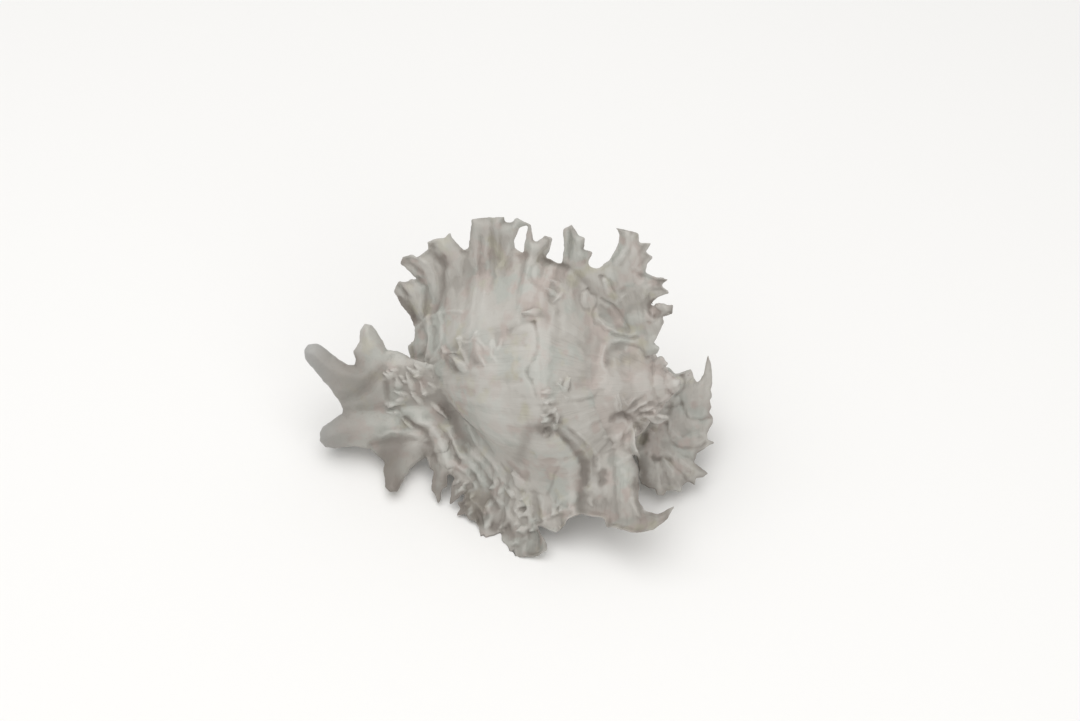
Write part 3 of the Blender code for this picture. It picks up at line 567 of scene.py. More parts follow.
def frond(into, back, root, tip, halfWidths, curl, teeth, nicks, bow, seed, side=-toApex, facing=None):
    look = frondLook
    chance = np.random.default_rng(seed)
    scale = whorlScale(back)
    start = place(back, (outlineRadius(root) + 0.3 * coil["varixRise"]) * scale, root * scale)
    end = place(back + tip[0], tip[1], tip[2])
    reach = np.linalg.norm(end - start)
    bend = start + outwardAt(back) * reach * bow
    u = np.linspace(-0.12, 1.0, look["stepsAlong"])
    v = np.linspace(-1.0, 1.0, look["stepsAcross"])
    # teeth: each column of the leaf ends a little further or nearer
    shift = chance.uniform(-0.2, 0.2)
    tooth = 1.0 - np.abs(((v + shift * (1 - v**2)) * teeth / 2.0 + 0.5) % 1.0 - 0.5) * 2.0
    uneven = np.interp(v, np.linspace(-1, 1, teeth * 2 + 3), chance.uniform(-1, 1, teeth * 2 + 3))
    length = 0.93 + look["toothDepth"] * (1 - tooth) ** 0.8 + 0.05 * uneven - 0.08 * v**2
    along = u[:, None] * np.where(u[:, None] > 0, length[None, :], 1.0)
    one = 1.0 - along
    centre = (one**2)[..., None] * start + (2 * along * one)[..., None] * bend + (along**2)[..., None] * end
    tangent = unit((2 * one)[..., None] * (bend - start) + (2 * along)[..., None] * (end - bend))
    side = unit(side - tangent * (tangent @ side)[..., None])
    forward = np.cross(side, tangent)
    forward = forward * np.sign((forward @ (growthWay(back) if facing is None else facing)).mean())
    # its width, with nicks down the sides, rolled into a gutter
    width = np.interp(u, (0.0, 0.5, 1.0), halfWidths)
    spur = np.abs((u * nicks) % 1.0 - 0.5) * 2.0
    width = width[:, None] * (1.0 + look["spur"] * spur**1.4 * np.clip(u * 2 - 0.6, 0, 1))[:, None]
    wobble = noise(np.stack([u * reach / 5.0, np.full(len(u), seed * 7.3)], -1), seed)
    width = width * (1 + 0.05 * wobble)[:, None]
    arc = np.radians(np.interp(u, (0.0, 1.0), (curl, curl * 0.6)))[:, None]
    across = width * np.sin(arc * v) / np.sin(np.minimum(arc, math.pi / 2))
    fold = -width * (np.cos(arc * v) - np.cos(arc)) / np.sin(np.minimum(arc, math.pi / 2))
    # ribs along it, and growth steps across it
    grow = np.clip(u, 0, 1)[:, None]
    ribs = np.cos(math.pi * (v + shift * (1 - v**2)) * teeth)[None, :]
    fine = np.interp(v, np.linspace(-1, 1, 14), chance.uniform(-1, 1, 14))[None, :]
    ribs = (0.7 * ribs + 0.6 * fine) * (0.35 + 0.65 * grow)
    arcs = along * reach / look["stepLength"] + 0.25 * np.abs(v)[None, :] + 0.3 * ribs
    rise = look["ribRise"] * ribs + look["stepRise"] * (arcs % 1.0 - 0.5) * np.clip(grow * 4, 0, 1)
    middle = centre + side * across[..., None] + forward * fold[..., None]
    normal = leafNormals(middle)
    thin = look["edgeThickness"]
    thin = thin + (look["thickness"] - thin) * (1 - np.abs(v) ** 3)[None, :]
    thin = thin * (1.0 - 0.25 * grow)
    middle = middle + normal * rise[..., None] * 0.5
    half = normal * thin[..., None] / 2
    addSheet(into, middle + half, middle - half)


# Traced edges, in pixels of the photograph, clockwise from the canal side
lipRib = {
    "edge": (
        (413, 356), (412, 345), (415, 331), (410, 316),
        (400.5, 305), (397.5, 298.5), (393, 290.5), (398.5, 281),
        (405, 282), (416, 279), (409, 272), (399, 263),
        (402, 257.5), (410.5, 254.5), (416, 257.5), (427, 250),
        (427, 242.5), (433.5, 239), (445, 237.5), (450, 232.5), (452, 237.5), (459, 246), (463.5, 250),
        (468.5, 247), (470, 233), (471.5, 218.5), (481, 217), (491, 217), (504, 216), (504.5, 221.5),
        (512.5, 222), (517, 218), (531, 224.5), (533.5, 240), (535.5, 241), (538, 241), (545, 235),
        (552.5, 239.5), (550, 249), (545.5, 257.5), (561, 264), (564, 247.5), (563, 230), (571.5, 224.5),
        (578.5, 234.5), (585, 237.5), (584, 249), (593, 252), (588.5, 266), (598.5, 268), (610, 259),
        (618.5, 244.5), (619.5, 234.5), (616, 226), (623, 227), (638.5, 233), (639.5, 243), (652, 242.5),
        (646, 252), (654, 257.5), (647, 264.5), (646, 273),
        (656, 277.5), (669, 279), (661.5, 286), (670, 293),
        (657.5, 297.5), (650, 306), (663, 305), (673, 305), (673, 313.5), (663, 317.5), (664.5, 323.5),
        (659, 333.5),
    ),
    "inner": ((648, 352), (600, 352), (560, 345), (500, 350), (455, 372), (425, 372)),
    "holes": (((515.5, 248), (513.5, 240), (519, 228), (528, 224.5), (525, 240), (523, 253)),),
    "foot": 37.0,  # degrees before the lip, where the rib leaves the whorl
    "edgeTurn": 5.0,
    "ease": 19.0,
    "sweepDown": (26.0, 52.0),
    "sweepShare": (0.4, 1.0),
    # rib lines, as root and how much further down their tip lies
    "tips": ((38, -28), (48, -11), (62, -10), (86, -5), (111, 0), (125, 10), (138, 3)),
    "reach": 35.0,
    "ribRise": 0.30,
    "ribSpacing": 2.1,
    "stepRise": 0.12,
    "stepLength": 4.2,
    # furrows that end in the notches, as (pixel, depth, width)
    "valleys": (
        ((416, 279), 3.2, 3.0), ((428, 251), 3.0, 2.6), ((464, 250), 2.6, 2.6), ((523, 252), 2.0, 2.2),
        ((546, 258), 3.0, 2.2), ((562, 264), 2.6, 2.0), ((592, 266), 2.4, 2.0), ((413, 316), 2.4, 3.0),
        ((491, 240), 1.2, 1.6), ((646, 306), 2.2, 2.4),
    ),
    "curl": 3.4,
    "curlReach": 7.0,
    "filletTurn": 0.0,
}
lowerRib = {
    "edge": (
        (424, 446), (430, 468.5), (434, 471), (431, 489),
        (434, 493), (438, 503), (441, 498.5), (441.5, 489),
        (447.5, 486.5), (447.5, 476), (450, 473), (455, 479),
        (451.5, 485), (451, 496), (449, 506), (457, 499),
        (463.5, 493), (464.5, 496.5), (462, 500.5), (457, 503), (460.5, 508.5), (456, 515.5), (465, 514),
        (468.5, 520), (475.5, 521), (478, 526.5), (481, 538.5), (487, 544), (496, 545.5), (504, 551),
        (508.5, 555.5), (524, 557), (537, 555.5), (547, 550), (547, 543.5), (540.5, 533.5), (536.5, 525),
        (543.5, 527), (555.5, 533), (561.5, 529.5), (568.5, 518), (581.5, 514), (602.5, 518), (606, 527),
        (616.5, 528), (635.5, 533), (653, 530), (666, 520), (675.5, 505), (657.5, 514), (644.5, 510),
        (638.5, 500), (640, 485.5),
    ),
    "inner": (
        (638, 466), (626, 446), (608, 428), (580, 424),
        (520, 424), (475, 414), (452, 406), (434, 408), (422, 424),
    ),
    "holes": (),
    "foot": 121.0,
    "edgeTurn": 137.0,
    "ease": 30.0,
    "sweepDown": (0.0, 1.0),
    "sweepShare": (1.0, 1.0),
    "tips": (
        (42, -46), (52, -44), (57, -32), (73, -2),
        (85, -2), (99, 3), (114, 6), (130, 9), (139, 6), (148, 6),
    ),
    "reach": 38.0,
    "ribRise": 0.40,
    "ribSpacing": 2.4,
    "stepRise": 0.25,
    "stepLength": 4.4,
    "valleys": (
        ((536, 526), 3.4, 2.6), ((560, 533), 2.0, 2.4), ((606, 524), 2.2, 2.2), ((464, 500), 2.6, 2.2),
        ((447, 480), 2.0, 2.0), ((478, 524), 1.6, 2.0), ((500, 530), 2.2, 1.8), ((584, 500), 1.6, 2.2),
        ((628, 520), 1.6, 2.0),
    ),
    "curl": -2.6,
    "curlReach": 6.0,
    "filletTurn": 17.0,
}
backPalm = {
    "edge": (
        (640, 483), (648, 487.5), (655, 488.5), (656.5, 495), (664.5, 495.5), (666, 489.5), (673.5, 490.5),
        (680.5, 492.5), (681, 487), (687.5, 481), (695, 485), (695.5, 478), (702, 477), (707.5, 473),
        (701.5, 469), (694, 462), (697, 453), (703.5, 449.5), (708.5, 445.5), (716.5, 443), (708.5, 439),
        (707, 435), (710, 428), (714.5, 421.5), (713.5, 417.5), (709.5, 412.5), (711, 407), (709.5, 400),
        (713, 395), (711, 389), (713.5, 383.5), (713, 371.5), (710, 361.5), (707.5, 354.5), (705.5, 365),
        (703.5, 373.5), (700, 380), (696, 383), (694, 378), (691, 368.5), (684, 371.5), (676, 373.5),
    ),
    "inner": ((658, 374), (634, 368), (616, 386), (628, 424), (638, 462)),
    "normal": np.array((0.0, -0.46, 0.89)),
    "through": np.array((apex[0] - 0.5, apex[1] - 14.0, 6.0)),
    "lowest": 3.0,  # it bends up to stay over the floor
    "round": 3.0,
    "half": 1.5,
    "edgeHalf": 0.6,
    "lump": 9.0,
    "rise": 0.7,
    "curl": -1.6,
    "lines": (),
}
canalPalm = {
    "edge": (
        (410.5, 357.5), (397, 351), (386.5, 350), (382.5, 340.5), (376, 330), (372, 325), (365, 323.5),
        (360, 330.5), (359.5, 342), (353.5, 351), (355.5, 359), (355.5, 365.5), (347.5, 365), (334, 356),
        (323.5, 347.5), (317, 343.5), (308.5, 344), (303.5, 350), (303.5, 357), (314, 370), (326, 383.5),
        (337, 398), (343, 409), (342, 413.5), (334, 419),
        (323.5, 426.5), (320, 433), (320, 441), (325, 447),
        (334, 448.5), (354, 446.5), (370.5, 449), (375.5, 454.5), (384.5, 463), (383.5, 472), (385, 477),
        (385, 487), (389, 492), (397.5, 491.5), (405, 477), (413.5, 465.5), (425, 458),
    ),
    "inner": ((447, 448), (462, 420), (456, 388), (434, 366)),
    "normal": outwardAt(78) + 0.25 * toApex,
    "through": place(80.0, 18.0, 150.0),
    "lowest": 4.5,
    "round": 8.5,
    "half": 8.0,
    "edgeHalf": 0.8,
    "lump": 16.0,
    "rise": 1.1,
    "curl": 0.0,
    "lines": (
        (((398, 352), (380, 372), (362, 392), (346, 400)), -2.2, 3.0),
        (((440, 400), (410, 404), (376, 408), (345, 411)), -1.6, 2.4),
        (((430, 440), (402, 440), (372, 444)), -1.6, 2.2),
        (((366, 330), (370, 344), (388, 362)), 1.0, 3.0), (((306, 352), (330, 366), (362, 380)), 1.2, 3.4),
        (((326, 438), (352, 428), (392, 424)), 1.6, 4.0),
    ),
}


# The folds that run from the canal's palm onto the lower rib
neckFolds = {
    "loop": (
        (424, 424), (444, 420), (462, 424), (474, 440), (484, 460), (478, 474), (462, 476), (450, 470),
        (440, 470), (431, 464), (427, 452), (422, 440),
    ),
    "from": (436.0, 434.0),
    "to": (452.0, 464.0),
    "thickness": 3.0,
    "lift": 8.6,  # over the palm
    "fall": 7.0,  # how much less over the rib
    "edgeSunk": 2.5,
}


def addFolds(into):
    loop = np.array(neckFolds["loop"], float)
    pixels, quads, border = fillLoop(loop, loop[-1:])
    start = np.array(neckFolds["from"])
    way = np.array(neckFolds["to"]) - start
    share = smoothRise(np.clip(((pixels - start) @ way) / (way @ way), 0, 1))[:, None]
    points = palmSurface(pixels, canalPalm) * (1 - share) + ribSurface(pixels, lowerRib)[0] * share
    free = toFreeEdge(pixels, np.concatenate([loop, loop[:1]]))
    sunk = neckFolds["edgeSunk"] * np.clip(1 - free / 3.0, 0, 1)[:, None]
    front = points + toCamera * (neckFolds["lift"] - neckFolds["fall"] * share - sunk)
    addSkins(into, front, front - toCamera * neckFolds["thickness"], quads, border)


# The fluted flange that joins the fronds of the hidden rib
flange = {
    "back": 240.0,
    # its edge, as root, turn, radius and distance below the apex
    "edge": (
        (150.0, 4.0, 27.0, 110.0), (130.0, 3.0, 44.0, 96.0), (112.0, 2.0, 56.0, 84.0),
        (90.0, 0.0, 66.0, 70.0), (72.0, -2.0, 70.0, 53.0), (58.0, -3.0, 68.0, 36.0),
        (46.0, -3.0, 50.0, 22.0),
    ),
    "bow": 0.5,
    "thickness": 2.6,
    "flute": 1.7,
    "fluteLengths": (12.7, 5.1),
    "fineFlute": 0.7,
    "stepRise": 0.3,
    "stepLength": 4.0,
    "stepsAlong": 40,
    "stepsAcross": 320,
    "seed": 2,
}


def addFlange(into):
    look = flange
    back, seed, count = look["back"], look["seed"], look["stepsAcross"]
    scale = whorlScale(back)
    root, turn, radius, down = smoothLine(look["edge"], count).T
    foot = (outlineRadius(root) + 0.2 * coil["varixRise"]) * scale
    start = place(np.full(count, back), foot, root * scale)
    ragged = 1.0 + 0.035 * fractal(np.stack([root / 4.0, np.full(count, seed * 3.1)], -1), 3, seed)
    end = place(back + turn, radius * ragged, down)
    reach = np.linalg.norm(end - start, axis=1)[:, None]
    bend = start + outwardAt(back) * reach * look["bow"]
    along = np.linspace(-0.2, 1.0, look["stepsAlong"])[:, None, None]
    one = 1.0 - along
    middle = one**2 * start + 2 * along * one * bend + along**2 * end
    long, short = look["fluteLengths"]
    flute = np.cos(2 * math.pi * root / long) + 0.5 * np.cos(2 * math.pi * root / short + seed)
    grow = np.clip(along[..., 0], 0, 1)
    places = np.stack(np.broadcast_arrays(root[None, :] / 3.2, along[..., 0] * 1.5, seed * 1.7), -1)
    fine = fractal(places.reshape(-1, 3), 2, seed + 20).reshape(places.shape[:2])
    wave = look["flute"] * flute[None, :] * grow + look["fineFlute"] * fine * (0.3 + grow)
    steps = (grow * reach[:, 0][None, :] / look["stepLength"] + 0.5 * fine) % 1.0
    middle = middle + growthWay(back) * (wave + look["stepRise"] * steps)[..., None]
    half = leafNormals(middle) * look["thickness"] / 2 * (1.25 - 0.55 * grow)[..., None]
    addSheet(into, middle + half, middle - half)


# Fronds as (back, root, (turn, radius, down), half widths, curl, teeth, nicks, bow)
fronds = (
    (240, 143.0, (4, 44, 114), (3.0, 3.0, 2.5), 60, 2, 2, 0.4),
    (240, 129.0, (3, 55, 103), (4.0, 4.0, 4.0), 65, 2, 2, 0.5),
    (240, 114.0, (2, 68, 92), (5.0, 5.0, 6.0), 70, 3, 2, 0.5),
    (240, 98.0, (0, 77, 80), (6.0, 6.0, 7.0), 70, 3, 2, 0.5),
    (240, 82.0, (-2, 84, 65), (7.0, 6.5, 7.5), 75, 4, 2, 0.5),
    (240, 67.0, (-2, 86, 47), (7.0, 6.5, 7.5), 75, 4, 2, 0.5),
    (480, 52.0, (10, 37, 26), (4.0, 5.0, 6.5), 60, 3, 1, 0.5),
    (600, 52.0, (5, 34, 8), (4.0, 4.0, 4.0), 65, 2, 2, 0.5),
    (720, 56.0, (0, 25.6, 10.5), (5.0, 6.0, 5.5), 40, 2, 1, 0.3),
    (1080, 56.0, (0, 14.6, 6.5), (3.0, 3.0, 2.5), 40, 2, 1, 0.3),
    (840, 52.0, (5, 19, 5), (2.5, 2.5, 2.5), 65, 2, 1, 0.5),
)
# The widest frond stands up behind the spire, spread round the axis
backFrond = {
    "back": 240.0,
    "root": 53.0,
    "tip": (-14, 52, 14),
    "halfWidths": (10.0, 12.0, 12.0),
    "curl": 30,
    "teeth": 5,
    "nicks": 4,
    "bow": 0.6,
    "seed": 32,
}


def ornament(into):
    addRib(into, lipRib, 3)
    addRib(into, lowerRib, 5)
    addPalm(into, backPalm, 7)
    addPalm(into, canalPalm, 9)
    addFolds(into)
    addFlange(into)
    for seed, row in enumerate(fronds, 1):
        frond(into, *row, seed)
    frond(into, **backFrond, side=growthWay(backFrond["back"]), facing=frontward)


# The flattened canal behind the traced palm, and a blunt finger on its hidden side
canalShape = {
    "turn": 92.0,
    "down": (96, 120, 136, 151, 162, 172),
    "out": (0, 2, 9, 18, 21, 22),
    "across": (14, 15, 16, 16, 12, 7),
    "deep": (11, 10, 8, 7, 6, 4),
    "steps": 24,
    "sides": 28,
    "finger": ((112, 18, 155), (126, 26, 177), (138, 29, 191)),
    "fingerAt": (0, 0.35, 0.7, 0.93, 1),
    "fingerWidths": (12.0, 9.0, 7.0, 5.5, 2.75),
    "fingerDeep": 8.0,
    "fingerSteps": 28,
}


def canal(into):
    shape = canalShape
    upright = outwardAt(-15)
    corners = np.stack([shape["out"], shape["down"], shape["across"], shape["deep"]], -1)
    out, down, across, deep = smoothLine(corners, shape["steps"]).T
    line = place(np.full(len(out), shape["turn"]), out, down)
    addTube(into, line, across, deep, upright, shape["sides"])
    line = smoothLine([place(*corner) for corner in shape["finger"]], shape["fingerSteps"])
    across = np.interp(np.linspace(0, 1, len(line)), shape["fingerAt"], shape["fingerWidths"])
    addTube(into, line, across, np.minimum(across, shape["fingerDeep"]), upright, shape["sides"])


# The mouth: its rim, and the hollow wound back from it
mouth = {
    "loop": (
        (46.5, 56.0), (54.0, 63.5), (55.5, 73.0), (53.5, 83.0), (50.0, 93.5), (43.0, 106.0), (33.0, 117.0),
        (23.0, 124.0), (15.0, 121.0), (11.0, 110.0), (12.0, 98.0), (16.0, 86.0), (23.0, 74.0), (33.0, 63.0),
    ),
    "rim": 3.4,
    "rimOut": 1.5,
    "rimSteps": 160,
    "crinkle": 0.12,  # of the rim
    "crinkleSteps": 7.0,
    "deep": 400.0,  # degrees that the hollow winds back
    "backStep": 5.0,
}


def lipRing(into):
    rim = smoothLine(mouth["loop"], mouth["rimSteps"], closed=True)
    rim = np.concatenate([rim, rim[:1]])
    rim = rim + unit(rim - rim[:-1].mean(0)) * mouth["rimOut"]
    wave = np.cos(np.arange(len(rim)) * 2 * math.pi / mouth["crinkleSteps"])
    half = mouth["rim"] * (1 + mouth["crinkle"] * wave)
    centres = place(np.full(len(rim), -1.0), rim[:, 0], rim[:, 1])
    addTube(into, centres, half, half, growthWay(0.0), 16)


def hollow():
    cutter = newGather()
    loop = smoothLine(mouth["loop"], 56, closed=True)
    rings = []
    for back in np.arange(-20.0, mouth["deep"] + 1, mouth["backStep"]):
        ring = loop * whorlScale(max(back, 0.0))
        rings.append(place(np.full(len(ring), back), ring[:, 0], ring[:, 1]))
    addRings(cutter, rings)
    return cutter


# The slit along the canal
slitShape = {
    "backs": (0, 0, 92, 92, 92),
    "radii": (20, 12, 9, 18, 21),
    "downs": (118, 129, 138, 152, 165),
    "shifts": (2.0, 8.0, 10.5, 10.5, 9.0),  # along the growth
    "half": 1.6,
    "deep": (9, 5),
    "steps": 24,
    "sides": 16,
}


def slit():
    shape = slitShape
    cutter = newGather()
    line = place(shape["backs"], shape["radii"], shape["downs"])
    line = smoothLine(line + growthWay(0.0) * np.array(shape["shifts"])[:, None], shape["steps"])
    deep = np.linspace(*shape["deep"], len(line))
    addTube(cutter, line, np.full(len(line), shape["half"]), deep, outwardAt(0), shape["sides"])
    return cutter


def belowFloor():
    cutter = newGather()
    half, deep = 300.0, 60.0  # well past the shell
    corners = ((-half, -half), (half, -half), (half, half), (-half, half))
    addRings(cutter, [[(x, y, z) for x, y in corners] for z in (-deep, 0.0)])
    return cutter


def meshObject(name, parts):
    points = np.concatenate(parts["points"]) * mm
    quads = np.concatenate(parts["quads"])
    tris = np.concatenate(parts["tris"]) if parts["tris"] else np.zeros((0, 3), int)
    mesh = bpy.data.meshes.new(name)
    mesh.vertices.add(len(points))
    mesh.vertices.foreach_set("co", points.ravel())
    mesh.loops.add(quads.size + tris.size)
    mesh.loops.foreach_set("vertex_index", np.concatenate([quads.ravel(), tris.ravel()]).astype(np.int32))
    starts = np.concatenate([np.arange(len(quads)) * 4, quads.size + np.arange(len(tris)) * 3])
    mesh.polygons.add(len(quads) + len(tris))
    mesh.polygons.foreach_set("loop_start", starts.astype(np.int32))
    mesh.update(calc_edges=True)
    mesh.validate()
    made = bpy.data.objects.new(name, mesh)
    bpy.context.scene.collection.objects.link(made)
    return made


def outwardFaces(item):
    shape = bmesh.new()
    shape.from_mesh(item.data)
    bmesh.ops.recalc_face_normals(shape, faces=shape.faces)
    shape.to_mesh(item.data)
    shape.free()


def applied(item):
    bpy.context.view_layer.update()
    graph = bpy.context.evaluated_depsgraph_get()
    mesh = bpy.data.meshes.new_from_object(item.evaluated_get(graph))
    item.modifiers.clear()
    old = item.data
    item.data = mesh
    bpy.data.meshes.remove(old)


def arrays(mesh):
    points = np.empty(len(mesh.vertices) * 3)
    mesh.vertices.foreach_get("co", points)
    normals = np.empty(len(mesh.vertices) * 3)
    mesh.vertices.foreach_get("normal", normals)
    edges = np.empty(len(mesh.edges) * 2, np.int32)
    mesh.edges.foreach_get("vertices", edges)
    return points.reshape(-1, 3) / mm, normals.reshape(-1, 3), edges.reshape(-1, 2)


def movePoints(item, points):
    item.data.vertices.foreach_set("co", (points * mm).ravel())
    item.data.update()


# Each point's value drawn towards its neighbours' mean, a number of times
def spread(values, edges, times, keep=0.4):
    count = np.bincount(edges.ravel(), minlength=len(values)).astype(float)
    values = values.reshape(len(values), -1).astype(float)
    for _ in range(times):
        total = np.zeros_like(values)
        for c in range(values.shape[1]):
            for here, there in (edges.T, edges.T[::-1]):
                total[:, c] += np.bincount(here, values[there, c], minlength=len(values))
        values = keep * values + (1 - keep) * total / np.maximum(count, 1)[:, None]
    return values.squeeze()


# Where each point is on the shell: degrees back, distance down at the lip's size, its whorl's
# scale, how far it stands off the outline, and its own radius and distance down
def shellPlace(points):
    rel = points - apex
    down = -(rel @ toApex)
    flat = rel + down[:, None] * toApex
    radius = np.linalg.norm(flat, axis=1)
    turn = (np.degrees(np.arctan2(flat @ frontward, flat @ upward)) - lie["lipLean"]) % 360.0
    top, bottom = coil["outline"][0][1], coil["outline"][-1][1]
    best = np.full(len(points), 1e9)
    back, root, size, off = (np.zeros(len(points)) for _ in range(4))
    for k in range(6):
        trial = turn + 360.0 * k
        scale = whorlScale(trial)
        at = down / scale
        gap = (radius / scale - outlineRadius(np.clip(at, top, bottom))) * scale
        cost = np.abs(gap) + np.where(at < 36.0, (36.0 - at) * scale, 0.0)
        better = cost < best
        best = np.where(better, cost, best)
        back, root = np.where(better, trial, back), np.where(better, at, root)
        size, off = np.where(better, scale, size), np.where(better, gap, off)
    return back, root, size, off, radius, down


# mm along the growth, at the widest part of the whorl
def alongGrowth(back):
    return coil["girthRadius"] * (1 - whorlScale(back)) / (math.log(coil["ratio"]) / (2 * math.pi))


# Relief over the whole surface, after the fusing
relief = {
    "growthRise": 0.20,  # ridges along the old lips
    "growthLength": 2.6,
    "growthWidth": 30.0,
    "cordRise": 0.18,  # cords that follow the spiral
    "cordLength": 4.6,
    "cordPatch": (16.0, 12.0),
    "warp": 1.6,  # how far both wander
    "warpPatch": (20.0, 14.0),
    "whorlReach": 5.0,  # mm off the whorl, where both fade
    "lumpRise": 0.50,
    "lumpLength": 14.0,
    "grainRise": 0.14,
    "grainLength": 2.4,
    "floorFade": 2.0,  # mm over the floor that the relief takes to begin
    "boxGap": 0.1,
    "edgeMargin": 1.5,  # mm inside the solid's box where the surface is eased back
}
